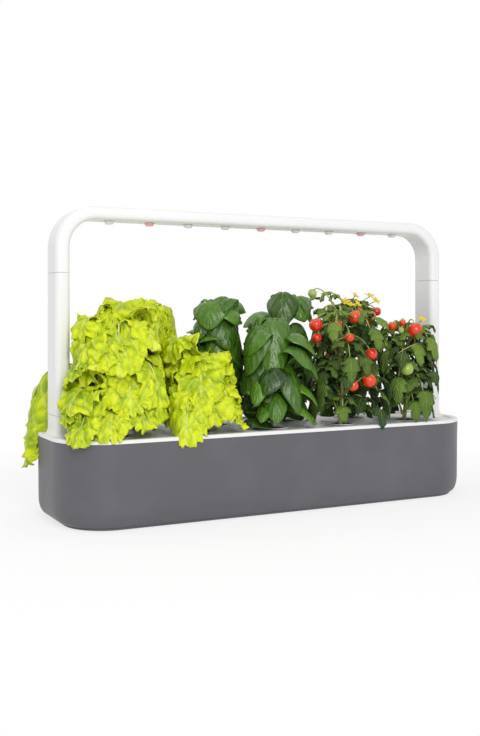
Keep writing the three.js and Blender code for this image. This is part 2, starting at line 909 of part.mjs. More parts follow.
// The under and upper points of a leaf, row by row from its foot to its tip, squeezed into its room. Its
// midrib sets out at a rise and bends down by its droop.
function leafPoints(leaf, pod) {
  const { origin, heading, rise, droop, length, width, habit } = leaf;
  const { rows, columns, cupShare, ruffleShare } = habit;
  const along = new THREE.Vector3(Math.cos(heading), Math.sin(heading), 0);
  const across = new THREE.Vector3(-along.y, along.x, 0);
  const points = [];
  const numbers = [];
  const middle = origin.clone();
  for (let row = 0; row <= rows; row += 1) {
    const share = row / rows;
    const tilt = THREE.MathUtils.degToRad(rise - droop * share);
    const normal = along.clone().multiplyScalar(-Math.sin(tilt)).setZ(Math.cos(tilt));
    const half = (width / 2) * bladeShares[habit.kind](share);
    const wave = row % 2 === 0 ? ruffleShare : -ruffleShare;
    const isEnd = row === 0 || row === rows;
    numbers.push([]);
    for (let column = 0; column <= columns; column += 1) {
      const side = (2 * column) / columns - 1;
      const isRim = isEnd || column === 0 || column === columns;
      if (isEnd && column > 0) {
        numbers[row].push(numbers[row][0]);
        continue;
      }
      const point = middle.clone();
      if (!isEnd) point.addScaledVector(across, side * half);
      if (!isEnd) point.addScaledVector(normal, (cupShare + wave) * side * side * half);
      crowded(point, pod);
      point.z = Math.max(point.z, foliageFloor);
      const under = points.push(point) - 1;
      const raised = point.clone().addScaledVector(normal, leafThickness);
      const upper = isRim ? under : points.push(crowded(raised, pod)) - 1;
      numbers[row].push([under, upper]);
    }
    middle.addScaledVector(along, (length / rows) * Math.cos(tilt));
    middle.z += (length / rows) * Math.sin(tilt);
  }
  return { points, numbers };
}

// A thin closed body between two sheets of points, from their rows of [under, upper] point numbers.
function sheetGeometry({ points, numbers }) {
  const index = [];
  for (let row = 0; row + 1 < numbers.length; row += 1) {
    for (let column = 0; column + 1 < numbers[row].length; column += 1) {
      for (const face of [0, 1]) {
        const a = numbers[row][column][face];
        const b = numbers[row][column + 1][face];
        const c = numbers[row + 1][column + 1][face];
        const d = numbers[row + 1][column][face];
        if (face === 1) index.push(a, d, c, a, c, b);
        else index.push(a, c, d, a, b, c);
      }
    }
  }
  const geometry = new THREE.BufferGeometry().setFromPoints(points);
  geometry.setIndex(index);
  return geometry;
}

// A point on a whorl's crest, where out is 0, or on its rim, where out is 1. At the rim, the cleft between
// each two leaves ends part of the way back to the crest.
function whorlPoint(whorl, k, out, pod) {
  const step = k % pointsPerLeaf;
  const reached = step === 0 ? out * (1 - cleftShare) : out;
  const share = THREE.MathUtils.lerp(crestReachShare, 1, reached);
  const level = THREE.MathUtils.lerp(whorl.crest, whorl.rim, reached);
  const wave = (step === 1 ? ruffleRise : -ruffleRise) * share;
  const angle = whorl.turn + (2 * Math.PI * k) / (leavesPerWhorl * pointsPerLeaf);
  const radius = whorl.reach * share;
  const point = new THREE.Vector3(radius * Math.cos(angle), radius * Math.sin(angle), 0);
  return crowded(point, pod).setZ(Math.max(level + wave, foliageFloor));
}

// The under and upper points of a whorl, from the crown over its crest to both edges of its rim.
function whorlPoints(whorl, pod) {
  const rise = new THREE.Vector3(0, 0, leafThickness);
  const root = new THREE.Vector3(0, 0, whorl.root);
  const points = [root, root.clone().add(rise)];
  const numbers = [[], [], [], []];
  for (let k = 0; k < leavesPerWhorl * pointsPerLeaf; k += 1) {
    const crest = whorlPoint(whorl, k, 0, pod);
    const rim = whorlPoint(whorl, k, 1, pod);
    const inside = 1 - leafThickness / Math.hypot(rim.x, rim.y);
    const rimUnder = new THREE.Vector3(rim.x * inside, rim.y * inside, rim.z);
    const first = points.push(crest, crest.clone().add(rise), rimUnder, rim) - 4;
    numbers[0].push([0, 1]);
    numbers[1].push([first, first + 1]);
    numbers[2].push([first + 2, first + 3]);
    numbers[3].push([first + 2, first + 2]);
  }
  for (const row of numbers) row.push(row[0]);
  return { points, numbers };
}

// A straight stalk between two points.
function stalk(from, to, radius) {
  const length = from.distanceTo(to);
  const turn = new THREE.Quaternion().setFromUnitVectors(
    new THREE.Vector3(0, 1, 0),
    to.clone().sub(from).normalize(),
  );
  return new THREE.CylinderGeometry(radius / 2, radius, length, stalkSides)
    .translate(0, length / 2, 0)
    .applyQuaternion(turn)
    .translate(from.x, from.y, from.z);
}

// The stem from the soil's planting hole, with a crown of its own radius above the soil.
function stemGeometry(height, crownRadius) {
  const foot = soilTop - plantHoleDepth + gap;
  return turned(
    [
      [0, foot],
      [stemRadius, foot],
      [stemRadius, soilTop + gap],
      [crownRadius, soilTop + crownRise],
      [stemTipRadius, soilTop + height],
      [0, soilTop + height],
    ],
    stemSides,
  );
}

// A lettuce's whorls of leaves from the lowest up. Each is one thin ruffled cup, and its row holds shares
// of the crown's rise, the reach and, for the crest and the rim, the plant's height.
const whorlShares = [
  [0.6, 1, 0.38, 0.02],
  [1.6, 0.875, 0.66, 0.4],
  [2.6, 0.625, 0.86, 0.68],
];

// How each kind grows. Pairs run from its lowest leaf to its highest; angles are degrees.
const goldenAngle = 180 * (3 - Math.sqrt(5));
const lettuce = {
  kind: 'lettuce',
  look: lettuceGreen,
  whorls: whorlShares,
  stemShare: 0.25,
  crownRadius: lettuceCrownRadius,
  rows: 4,
  columns: 2,
  cupShare: 0.3,
  ruffleShare: 0.2,
};
const basil = {
  kind: 'basil',
  look: basilGreen,
  perJoint: 2,
  jointTurn: 90,
  stemShare: 0.95,
  crownRadius: stemRadius,
  leafLength: basilLeafLength,
  leafWidth: basilLeafWidth,
  rootShares: [0.12, 0.92],
  riseAngles: [46, 50],
  droopAngles: [125, 85],
  lengthShares: [1, 0.72],
  widthShares: [1, 0.85],
  rows: 3,
  columns: 2,
  cupShare: -0.3,
  ruffleShare: 0,
};
const tomato = {
  kind: 'tomato',
  look: tomatoGreen,
  perJoint: 1,
  jointTurn: goldenAngle,
  stemShare: 0.93,
  crownRadius: stemRadius,
  leafLength: tomatoLeafLength,
  leafWidth: tomatoLeafWidth,
  rootShares: [0.12, 0.9],
  riseAngles: [36, 50],
  droopAngles: [105, 90],
  lengthShares: [1, 0.7],
  widthShares: [1, 0.85],
  rows: 4,
  columns: 2,
  cupShare: -0.25,
  ruffleShare: 0,
};

// The whorls round a lettuce's crown.
function whorlsOf({ habit, height, turn }) {
  const { whorls = [] } = habit;
  return whorls.map(([rootShare, reachShare, crestShare, rimShare], k) => {
    const root = soilTop + crownRise * rootShare;
    return {
      turn: THREE.MathUtils.degToRad(turn + k * goldenAngle),
      reach: lettuceReach * reachShare,
      root,
      crest: root + height * crestShare,
      rim: root + height * rimShare,
    };
  });
}

// The leaves up a plant's stem, joint by joint.
function leavesUpStem({ habit, height, turn, count = 0 }) {
  const joints = count / habit.perJoint;
  return Array.from({ length: count }, (unused, k) => {
    const joint = Math.floor(k / habit.perJoint);
    const share = joint / (joints - 1);
    const between = ([first, last]) => THREE.MathUtils.lerp(first, last, share);
    const angle = turn + joint * habit.jointTurn + ((k % habit.perJoint) * 360) / habit.perJoint;
    return {
      habit,
      origin: new THREE.Vector3(0, 0, soilTop + height * between(habit.rootShares)),
      heading: THREE.MathUtils.degToRad(angle),
      rise: between(habit.riseAngles),
      droop: between(habit.droopAngles),
      length: habit.leafLength * between(habit.lengthShares),
      width: habit.leafWidth * between(habit.widthShares),
    };
  });
}

// The leaves that reach out of the crown further than the rest.
function reachingLeaves({ habit, height, reaching = [] }) {
  return reaching.map(([angle, rise, droop, lengthShare, widthShare]) => ({
    habit,
    origin: new THREE.Vector3(0, 0, soilTop + crownRise),
    heading: THREE.MathUtils.degToRad(angle),
    rise,
    droop,
    length: height * lengthShare,
    width: height * widthShare,
  }));
}

// Fruit on short trusses: [heading as a share of a turn, reach share, height share, radius share].
const fruitShares = [
  [0.66, 0.62, 0.78, 1],
  [0.86, 0.5, 0.62, 0.8],
  [0.74, 0.72, 0.42, 0.9],
];

function fruitGeometry([turnShare, reachShare, heightShare, radiusShare], plant, pod) {
  const heading = turnShare * Math.PI * 2;
  const reach = foliageReach * reachShare;
  const radius = fruitRadius * radiusShare;
  const centre = new THREE.Vector3(
    reach * Math.cos(heading),
    reach * Math.sin(heading),
    soilTop + plant.height * heightShare,
  );
  crowded(centre, pod);
  const shrink = 1 - radius / Math.max(Math.hypot(centre.x, centre.y), radius * 2);
  centre.setX(centre.x * shrink).setY(centre.y * shrink);
  const root = new THREE.Vector3(0, 0, centre.z + radius);
  return [
    stalk(root, centre, stalkRadius),
    new THREE.SphereGeometry(radius, fruitSides, fruitRows).translate(centre.x, centre.y, centre.z),
  ];
}

function plantGeometry(plant, pod) {
  const { habit, height, fruits = [] } = plant;
  const leaves = [...leavesUpStem(plant), ...reachingLeaves(plant)];
  const blades = leaves.map((leaf) => sheetGeometry(leafPoints(leaf, pod)));
  const whorls = whorlsOf(plant).map((whorl) => sheetGeometry(whorlPoints(whorl, pod)));
  const trusses = fruits.flatMap((fruit) => fruitGeometry(fruit, plant, pod));
  const stem = stemGeometry(height * habit.stemShare, habit.crownRadius);
  return shaped(stem, { joined: [...blades, ...whorls, ...trusses] });
}

// The nine plants in pod order. Rows of reaching leaves are
// [heading, rise, droop, length share, width share], with angles in degrees and shares of the height.
const plants = [
  { name: 'lettuce_1', habit: lettuce, heightShare: 0.86, turn: 40 },
  {
    name: 'lettuce_2',
    habit: lettuce,
    heightShare: 0.93,
    turn: 75,
    reaching: [[169, 50, 115, 1.3, 0.32]],
  },
  { name: 'lettuce_3', habit: lettuce, heightShare: 0.66, turn: 143 },
  { name: 'basil_1', habit: basil, heightShare: 0.88, turn: 12, count: 12 },
  { name: 'basil_2', habit: basil, heightShare: 0.76, turn: 69, count: 12 },
  { name: 'basil_3', habit: basil, heightShare: 0.92, turn: 52, count: 12 },
  { name: 'tomato_1', habit: tomato, heightShare: 0.86, turn: 17, count: 8, fruits: fruitShares },
  { name: 'tomato_2', habit: tomato, heightShare: 0.97, turn: 109, count: 8, fruits: fruitShares },
  { name: 'tomato_3', habit: tomato, heightShare: 0.72, turn: 46, count: 8, fruits: fruitShares },
].map((plant) => ({ ...plant, height: tallestPlant * plant.heightShare }));

// Assembly

const garden = new THREE.Group();

function addTank() {
  const group = new THREE.Group();
  group.add(piece('tank', tankGeometry(), tankGrey));
  for (const [name, signX, signY] of padPlaces) {
    const pad = piece(name, padGeometry(), rubberBlack);
    pad.position.set(...padCentre(signX, signY), 0);
    group.add(pad);
  }
  garden.add(group);
}

function addLid() {
  const group = new THREE.Group();
  group.add(
    piece('lid', lidGeometry(pods), lidWhite),
    piece('power_inlet', inletGeometry(), inletBlack),
    piece('base_contact', baseContactGeometry(), contactBrass),
    piece('float_gauge', floatGeometry(), floatWhite),
  );
  garden.add(group);
}

function addPosts() {
  const group = new THREE.Group();
  for (const [name, side] of [['post_left', -1], ['post_right', 1]]) {
    const post = piece(name, postGeometry(), lidWhite);
    post.position.setX(side * legCentre);
    group.add(post);
  }
  group.add(piece('post_contact', postContactGeometry(), contactBrass));
  garden.add(group);
}

function addArch() {
  const group = new THREE.Group();
  group.add(
    piece('arch', archGeometry(), lidWhite),
    piece('light_cover', coverGeometry(), lidWhite),
    piece('led_board', ledBoardGeometry(), boardSilver),
    piece('timer_board', timerBoardGeometry(), circuitGreen),
    piece('arch_contact', archContactGeometry(), contactBrass),
  );
  lensCentres().forEach((x, k) => {
    const isRed = k % 3 === 1;
    const lens = piece(`lens_${k + 1}`, lensGeometry(), isRed ? lensRed : lensClear);
    lens.position.setX(x);
    group.add(lens);
  });
  garden.add(group);
}

function addPods() {
  const cup = cupGeometry();
  const soil = soilGeometry();
  for (const pod of pods) {
    const plant = plants[pod.index];
    const group = new THREE.Group();
    group.position.set(pod.x, pod.y, 0);
    group.add(
      piece(`cup_${pod.index + 1}`, cup.clone(), cupWhite),
      piece(`soil_${pod.index + 1}`, soil.clone(), soilBrown),
      piece(plant.name, plantGeometry(plant, pod), plant.habit.look),
    );
    garden.add(group);
  }
}

addTank();
addLid();
addPosts();
addArch();
addPods();

export default garden;
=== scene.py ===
"""Countertop hydroponic garden: its finishes, fine surfaces and plants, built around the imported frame.

All lengths are metres and the frame is the part's own: +X along the tank towards the leg with the power
inlet, +Y to the back and +Z up, with the origin on the worktop under the middle of the tank.
"""

from __future__ import annotations

import functools
import logging
import math
from collections.abc import Sequence
from dataclasses import dataclass, field
from enum import Enum, IntEnum

import bmesh
import bpy
import numpy as np
from bpy.types import Material, Node, NodeSocket, Object
from mathutils import Matrix, Vector


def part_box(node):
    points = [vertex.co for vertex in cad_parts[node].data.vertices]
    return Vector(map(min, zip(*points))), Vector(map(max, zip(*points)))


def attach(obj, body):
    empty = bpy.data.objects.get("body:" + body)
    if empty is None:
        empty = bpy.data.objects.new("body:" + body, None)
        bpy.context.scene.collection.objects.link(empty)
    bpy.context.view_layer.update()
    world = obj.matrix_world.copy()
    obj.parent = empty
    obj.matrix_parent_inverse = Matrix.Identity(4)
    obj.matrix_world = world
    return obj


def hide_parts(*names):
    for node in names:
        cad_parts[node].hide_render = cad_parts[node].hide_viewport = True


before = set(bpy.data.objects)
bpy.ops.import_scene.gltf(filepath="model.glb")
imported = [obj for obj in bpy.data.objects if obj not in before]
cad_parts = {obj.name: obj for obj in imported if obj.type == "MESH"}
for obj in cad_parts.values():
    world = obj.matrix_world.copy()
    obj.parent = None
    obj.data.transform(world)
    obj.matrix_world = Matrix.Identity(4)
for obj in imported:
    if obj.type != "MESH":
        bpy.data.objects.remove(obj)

log = logging.getLogger("hydroponic_garden")

Point = tuple[float, float, float]
Colour = tuple[float, float, float]
Wall = tuple[float, float, float]
Profile = Sequence[tuple[float, float]]

FIT = 0.0003
OVERRUN = 0.002
SHARP_ANGLE = 32.0
QUARTER = math.pi / 2
FULL_TURN = math.tau
GOLDEN_ANGLE = 180 * (3 - math.sqrt(5))
POD_COUNT = 9
LENS_COUNT = 9
CUP_FLANGE = 0.0028
UP = np.array([0.0, 0.0, 1.0])


class Carving(Enum):
    """What a carving does with its tools."""

    CUT = "DIFFERENCE"
    JOIN = "UNION"


class Cell(Enum):
    """What the distances in a cell pattern are taken to."""

    POINT = "F1"
    EDGE = "DISTANCE_TO_EDGE"


class Skin(IntEnum):
    """The materials of a plant's mesh, in the order that its faces number them."""

    UPPER = 0
    UNDER = 1
    STEM = 2
    RIPE = 3
    GREEN = 4
    PETAL = 5


def shares(count: int) -> np.ndarray:
    """Shares from 0 to 1 with a number of even steps between them."""
    return np.linspace(0.0, 1.0, count + 1)


def marks_of(across: object, along: object, tint: object, shape: tuple[int, ...]) -> np.ndarray:
    """The marks of a leaf's grid: place across, place along and tint, each spread over its shape."""
    return np.stack([np.broadcast_to(value, shape) for value in (across, along, tint)], axis=-1)


class Graph:
    """Builds the node tree of one material, or of the world, a node at a time."""

    def __init__(self, name: str, is_world: bool = False) -> None:
        """Starts a material with a Principled shader, or a world with a Background.

        Args:
            name: the name of what it dresses.
            is_world: whether that is the world.
        """
        self.owner = (bpy.data.worlds if is_world else bpy.data.materials).new(name)
        self.owner.use_nodes = True
        self.tree = self.owner.node_tree
        self.shader = self.tree.nodes["Background" if is_world else "Principled BSDF"]

    def add(self, kind: str, *values: object, **inputs: object) -> Node:
        """Adds a node and feeds its inputs.

        Args:
            kind: the node's type.
            values: values or sockets for its first inputs, in their order.
            inputs: values or sockets, keyed by input name with _ for a space, or properties in lower case.

        Returns:
            The new node.
        """
        node = self.tree.nodes.new(kind)
        for key, value in inputs.items():
            name = key.replace("_", " ")
            if name in node.inputs:
                self.feed(node.inputs[name], value)
            else:
                setattr(node, key, value)
        for socket, value in zip(node.inputs, values):
            self.feed(socket, value)
        return node

    def feed(self, socket: NodeSocket, value: object) -> None:
        """Links a socket to another, or gives it a plain value.

        Args:
            socket: the input socket.
            value: an output socket, a number or a colour, or None to leave it alone.
        """
        if isinstance(value, NodeSocket):
            self.tree.links.new(value, socket)
        elif isinstance(value, tuple) and len(socket.default_value) > len(value):
            socket.default_value = (*value, 1.0)
        elif value is not None:
            socket.default_value = value

    def shade(self, **inputs: object) -> Material:
        """Sets inputs of the shader.

        Args:
            inputs: values or sockets, keyed by input name with _ for a space.

        Returns:
            The material.
        """
        for key, value in inputs.items():
            self.feed(self.shader.inputs[key.replace("_", " ")], value)
        return self.owner

    @functools.cached_property
    def place(self) -> NodeSocket:
        """The point on the object, in metres."""
        return self.add("ShaderNodeTexCoord").outputs["Object"]

    @functools.cached_property
    def mark(self) -> Node:
        """The mark that a leaf's mesh stores at each of its points, split into X, Y and Z."""
        stored = self.add("ShaderNodeAttribute", attribute_name="blade")
        return self.add("ShaderNodeSeparateXYZ", stored.outputs["Vector"])

    def noise(self, scale: float, detail: float = 2.0, roughness: float = 0.5,
              place: NodeSocket | None = None) -> NodeSocket:
        """Noise from 0 to 1, by its cells per metre, its octaves and how strong the finer ones are."""
        return self.add("ShaderNodeTexNoise", Vector=place or self.place, Scale=scale, Detail=detail,
                        Roughness=roughness).outputs["Fac"]

    def stretched(self, *factors: float) -> NodeSocket:
        """The point on the object, with its X, Y and Z each multiplied by a factor."""
        return self.add("ShaderNodeMapping", Vector=self.place, Scale=factors).outputs[0]

    def cells(self, scale: float, cell: Cell = Cell.POINT) -> NodeSocket:
        """The distance to the nearest cell point or edge, by the cells per metre."""
        return self.add("ShaderNodeTexVoronoi", Vector=self.place, feature=cell.value,
                        Scale=scale).outputs["Distance"]

    def math(self, operation: str, first: object, second: object = 0.0) -> NodeSocket:
        """A calculation on two numbers or sockets, by the Math node's name for it."""
        return self.add("ShaderNodeMath", first, second, operation=operation).outputs[0]

    def ramp(self, value: object, low: float, high: float, start: float = 0.0,
             end: float = 1.0) -> NodeSocket:
        """A value that eases from start to end as another passes from low to high."""
        return self.add("ShaderNodeMapRange", value, low, high, start, end,
                        interpolation_type="SMOOTHSTEP").outputs[0]

    def mix(self, share: object, first: object, second: object) -> NodeSocket:
        """A colour between two others.

        Args:
            share: 0 for the first colour, 1 for the second.
            first: a colour or socket.
            second: a colour or socket.

        Returns:
            The colour socket.
        """
        node = self.add("ShaderNodeMix", share, data_type="RGBA")
        for place, colour in ((6, first), (7, second)):
            self.feed(node.inputs[place], colour)
        return node.outputs[2]

    def bump(self, height: object, depth: float, strength: float = 1.0,
             under: NodeSocket | None = None) -> NodeSocket:
        """Relief by its height from 0 to 1 and its depth in metres, which may lie on coarser relief."""
        return self.add("ShaderNodeBump", Height=height, Distance=depth, Strength=strength,
                        Normal=under).outputs[0]


@dataclass(frozen=True)
class MouldedPlastic:
    """Injection-moulded plastic with a fine spark-eroded grain, paler and duller where it is rubbed."""

    name: str
    colour: Colour
    roughness: float = 0.4
    grain: float = 0.00003
    scuff: float = 0.04

    def material(self) -> Material:
        """Builds the material.

        Returns:
            The material.
        """
        graph = Graph(self.name)
        worn = graph.ramp(graph.noise(9.0, 4.0, 0.6), 0.45, 0.75)
        lighter = tuple(channel + (1.0 - channel) * self.scuff for channel in self.colour)
        fine = graph.noise(2600.0, 2.0, 0.6)
        darker = tuple(channel * (1.0 - self.scuff) for channel in self.colour)
        speckled = graph.mix(graph.ramp(fine, 0.35, 0.65), darker, self.colour)
        return graph.shade(
            Base_Color=graph.mix(worn, speckled, lighter),
            Roughness=graph.ramp(worn, 0.0, 1.0, self.roughness, self.roughness + 0.08),
            Normal=graph.bump(fine, self.grain, 0.6, graph.bump(graph.noise(45.0), 0.00006, 0.5)),
        )


@dataclass(frozen=True)
class SoftRubber:
    """Dull rubber with dust in its pores."""

    name: str
    colour: Colour

    def material(self) -> Material:
        """Builds the material.

        Returns:
            The material.
        """
        graph = Graph(self.name)
        dust = graph.ramp(graph.noise(320.0, 5.0, 0.7), 0.5, 0.8)
        return graph.shade(
            Base_Color=graph.mix(dust, self.colour, tuple(channel + 0.06 for channel in self.colour)),
            Roughness=graph.ramp(dust, 0.0, 1.0, 0.75, 0.95),
            Normal=graph.bump(graph.noise(1500.0, 3.0), 0.00005, 0.7),
        )


@dataclass(frozen=True)
class WornMetal:
    """Plated or drawn metal with fine lines along X and tarnished patches."""

    name: str
    colour: Colour
    tarnish: Colour

    def material(self) -> Material:
        """Builds the material.

        Returns:
            The material.
        """
        graph = Graph(self.name)
        lines = graph.noise(1.0, place=graph.stretched(40.0, 2400.0, 2400.0))
        patches = graph.ramp(graph.noise(90.0, 4.0, 0.6), 0.5, 0.8)
        return graph.shade(
            Base_Color=graph.mix(patches, self.colour, self.tarnish),
            Metallic=1.0,
            Roughness=graph.ramp(lines, 0.3, 0.7, 0.22, 0.42),
            Normal=graph.bump(lines, 0.00002, 0.5),
        )


@dataclass(frozen=True)
class ClearLens:
    """Polished optical plastic, tinted by the lamp behind it, with a paler painted glow where it faces the
    camera.
    """

    name: str
    colour: Colour
    glow: Colour

    def material(self) -> Material:
        """Builds the material.

        Returns:
            The material.
        """
        graph = Graph(self.name)
        rim = graph.add("ShaderNodeLayerWeight", Blend=0.45).outputs["Facing"]
        rings = graph.ramp(graph.noise(700.0), 0.3, 0.7)
        # Painted glow: the colour is paler where the lens faces the camera and takes the tint towards its
        # edges.
        painted_glow_tint = graph.mix(graph.math("MULTIPLY", rim, rings), self.glow, self.colour)
        return graph.shade(Base_Color=painted_glow_tint, Roughness=graph.ramp(rings, 0.0, 1.0, 0.1, 0.16), IOR=1.49,
                           Coat_Weight=0.6, Coat_Roughness=0.05)


@dataclass(frozen=True)
class CircuitBoard:
    """Solder resist with copper tracks that show through it."""

    name: str
    colour: Colour
    tracks: Colour

    def material(self) -> Material:
        """Builds the material.

        Returns:
            The material.
        """
        graph = Graph(self.name)
        edges = graph.ramp(graph.cells(420.0, Cell.EDGE), 0.02, 0.06, 1.0, 0.0)
        return graph.shade(
            Base_Color=graph.mix(edges, self.colour, self.tracks),
            Roughness=graph.ramp(graph.noise(500.0), 0.3, 0.7, 0.3, 0.45),
            Normal=graph.bump(edges, 0.00004, 0.8),
        )


@dataclass(frozen=True)
class DampPeat:
    """Crumbly growing medium: lighter crumbs, painted shade in the hollows between them, and pale fibres."""

    name: str
    painted_hollow_shade: Colour
    light: Colour
    fibre: Colour

    def material(self) -> Material:
        """Builds the material.

        Returns:
            The material.
        """
        graph = Graph(self.name)
        crumbs = graph.cells(520.0)
        # Painted shade: the colour darkens from the middle of each crumb to the hollows between them.
        crumbs_and_painted_shade = graph.mix(graph.ramp(crumbs, 0.2, 0.8), self.light, self.painted_hollow_shade)
        fibres = graph.noise(260.0, 4.0, place=graph.stretched(1.0, 9.0, 4.0))
        return graph.shade(
            Base_Color=graph.mix(graph.ramp(fibres, 0.66, 0.7), crumbs_and_painted_shade, self.fibre),
            Roughness=graph.ramp(crumbs, 0.2, 0.8, 0.7, 0.95),
            Normal=graph.bump(graph.noise(900.0, 6.0, 0.7), 0.0006, 0.8, graph.bump(crumbs, 0.0012, 0.8)),
        )


@dataclass(frozen=True)
class LeafSkin:
    """The skin of a leaf, drawn from the marks that its mesh stores: place across, place along and tint.

    Args:
        name: the material's name.
        deep: its colour where the tint is 0.
        bright: its colour where the tint is 1.
        vein: the colour of its veins.
        roughness: its gloss.
        laterals: side veins on each half.
        slant: how far the side veins run towards the tip.
        quilt: the height of the blade between its veins.
        vein_share: how much of the vein's colour shows.
        shine: how strongly its surface mirrors the light, where 0.5 is plain.
        crinkle: the depth of the crinkles between its veins.
        see_through: the share of light that passes into the leaf.
    """

    name: str
    deep: Colour
    bright: Colour
    vein: Colour
    roughness: float
    laterals: float
    slant: float
    quilt: float
    vein_share: float = 0.55
    shine: float = 0.2
    crinkle: float = 0.0003
    see_through: float = 0.0

    def material(self) -> Material:
        """Builds the material.

        Returns:
            The material.
        """
        graph = Graph(self.name)
        across = graph.math("ABSOLUTE", graph.mark.outputs["X"])
        slanted = graph.math("MULTIPLY", across, self.slant)
        phase = graph.math("MULTIPLY", graph.mark.outputs["Y"], self.laterals)
        phase = graph.math("SUBTRACT", phase, slanted)
        wobble = graph.math("MULTIPLY", graph.noise(60.0), 0.5)
        from_vein = graph.math("PINGPONG", graph.math("ADD", phase, wobble), 0.5)
        lateral = graph.ramp(from_vein, 0.03, 0.13, 1.0, 0.0)
        fading = graph.ramp(across, 0.55, 0.95, 0.75, 0.15)
        midrib = graph.ramp(across, 0.02, 0.07, 1.0, 0.0)
        veins = graph.math("MAXIMUM", midrib, graph.math("MULTIPLY", lateral, fading))
        mottle = graph.noise(75.0, 4.0, 0.6)
        tint = graph.math("ADD", graph.mark.outputs["Z"], graph.math("MULTIPLY", mottle, 0.5))
        body = graph.mix(graph.ramp(tint, 0.15, 1.2), self.deep, self.bright)
        fine = graph.ramp(graph.cells(650.0, Cell.EDGE), 0.0, 0.25)
        relief = graph.bump(graph.ramp(from_vein, 0.0, 0.4), self.quilt, 0.8)
        relief = graph.bump(fine, self.quilt / 6.0, 0.5, relief)
        relief = graph.bump(graph.noise(130.0, 3.0, 0.55), self.crinkle, 0.9, relief)
        if self.see_through:
            graph.shade(Subsurface_Weight=self.see_through, Subsurface_Scale=0.004,
                        Subsurface_Radius=(0.7, 1.0, 0.15))
        return graph.shade(
            Base_Color=graph.mix(graph.math("MULTIPLY", veins, self.vein_share), body, self.vein),
            Roughness=graph.ramp(mottle, 0.3, 0.7, self.roughness - 0.05, self.roughness + 0.08),
            Normal=relief,
            Specular_IOR_Level=self.shine,
        )


@dataclass(frozen=True)
class StemSkin:
    """The skin of stems and stalks, with fine lines and older patches."""

    name: str
    young: Colour
    old: Colour
    roughness: float = 0.5

    def material(self) -> Material:
        """Builds the material.

        Returns:
            The material.
        """
        graph = Graph(self.name)
        patches = graph.ramp(graph.noise(55.0, 3.0, 0.6), 0.35, 0.7)
        lines = graph.noise(1100.0)
        return graph.shade(
            Base_Color=graph.mix(patches, self.young, self.old),
            Roughness=graph.ramp(lines, 0.3, 0.7, self.roughness - 0.06, self.roughness + 0.06),
            Normal=graph.bump(lines, 0.00015, 0.6),
        )


@dataclass(frozen=True)
class FruitSkin:
    """Waxy fruit skin with less ripe patches and tiny pale specks."""

    name: str
    ripe: Colour
    patch: Colour
    speck: Colour

    def material(self) -> Material:
        """Builds the material.

        Returns:
            The material.
        """
        graph = Graph(self.name)
        patches = graph.ramp(graph.noise(48.0, 3.0), 0.45, 0.75)
        specks = graph.ramp(graph.cells(1300.0), 0.05, 0.16, 0.5, 0.0)
        return graph.shade(
            Base_Color=graph.mix(specks, graph.mix(patches, self.ripe, self.patch), self.speck),
            Roughness=graph.ramp(graph.noise(700.0), 0.3, 0.7, 0.16, 0.28),
            Normal=graph.bump(graph.noise(900.0), 0.00004, 0.4),
            Coat_Weight=0.35,
            Coat_Roughness=0.08,
        )


@dataclass(frozen=True)
class Petal:
    """A thin petal, darker at its foot, with lines that run to its tip."""

    name: str
    colour: Colour
    foot: Colour

    def material(self) -> Material:
        """Builds the material.

        Returns:
            The material.
        """
        graph = Graph(self.name)
        lines = graph.math("PINGPONG", graph.math("MULTIPLY", graph.mark.outputs["X"], 4.0), 0.5)
        return graph.shade(
            Base_Color=graph.mix(graph.ramp(graph.mark.outputs["Y"], 0.0, 0.5), self.foot, self.colour),
            Roughness=graph.ramp(lines, 0.0, 0.5, 0.5, 0.65),
            Normal=graph.bump(lines, 0.0002, 0.6),
        )


def span(node: str) -> tuple[np.ndarray, np.ndarray]:
    """The lowest and highest corners of a node at rest."""
    low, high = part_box(node)
    return np.array(low), np.array(high)


def middle_of(node: str) -> np.ndarray:
    """The middle of a node at rest."""
    low, high = span(node)
    return (low + high) / 2


def radius_of(node: str, axis: int = 2) -> float:
    """The radius of a round node whose axis runs along X, Y or Z, numbered 0, 1 or 2."""
    low, high = span(node)
    return float(np.delete(high - low, axis).max()) / 2


def level_ring(z: float, half_x: float, half_y: float, corner: float, steps: int = 18) -> np.ndarray:
    """A level rectangle with round corners, counter-clockwise seen from above.

    Args:
        z: its height.
        half_x: half its length along X.
        half_y: half its length along Y.
        corner: the radius of its corners.
        steps: facets in each corner.

    Returns:
        Its points, one a row.
    """
    turn = shares(steps) * QUARTER
    sides = []
    for quarter, (sign_x, sign_y) in enumerate(((1, 1), (-1, 1), (-1, -1), (1, -1))):
        angle = turn + quarter * QUARTER
        x = sign_x * (half_x - corner) + corner * np.cos(angle)
        y = sign_y * (half_y - corner) + corner * np.sin(angle)
        sides.append(np.column_stack([x, y, np.full(steps + 1, z)]))
    return np.concatenate(sides)


def soften(corners: Sequence[tuple[float, float, float]], closed: bool = False,
           steps: int = 4) -> list[tuple[float, float]]:
    """Rounds the corners of a profile.

    Args:
        corners: rows of first value, second value and the radius of the corner there.
        closed: whether the profile's end meets its start.
        steps: facets in each round corner.

    Returns:
        The profile's points.
    """
    points = []
    for index, (first, second, radius) in enumerate(corners):
        here = np.array([first, second])
        if radius == 0.0 or (not closed and index in (0, len(corners) - 1)):
            points.append((first, second))
            continue
        before = np.array(corners[index - 1][:2]) - here
        after = np.array(corners[(index + 1) % len(corners)][:2]) - here
        cut = min(radius, np.linalg.norm(before) / 2, np.linalg.norm(after) / 2)
        start = here + before / np.linalg.norm(before) * cut
        end = here + after / np.linalg.norm(after) * cut
        for share in shares(steps):
            bent = (1 - share) ** 2 * start + 2 * share * (1 - share) * here + share**2 * end
            points.append((float(bent[0]), float(bent[1])))
    return points


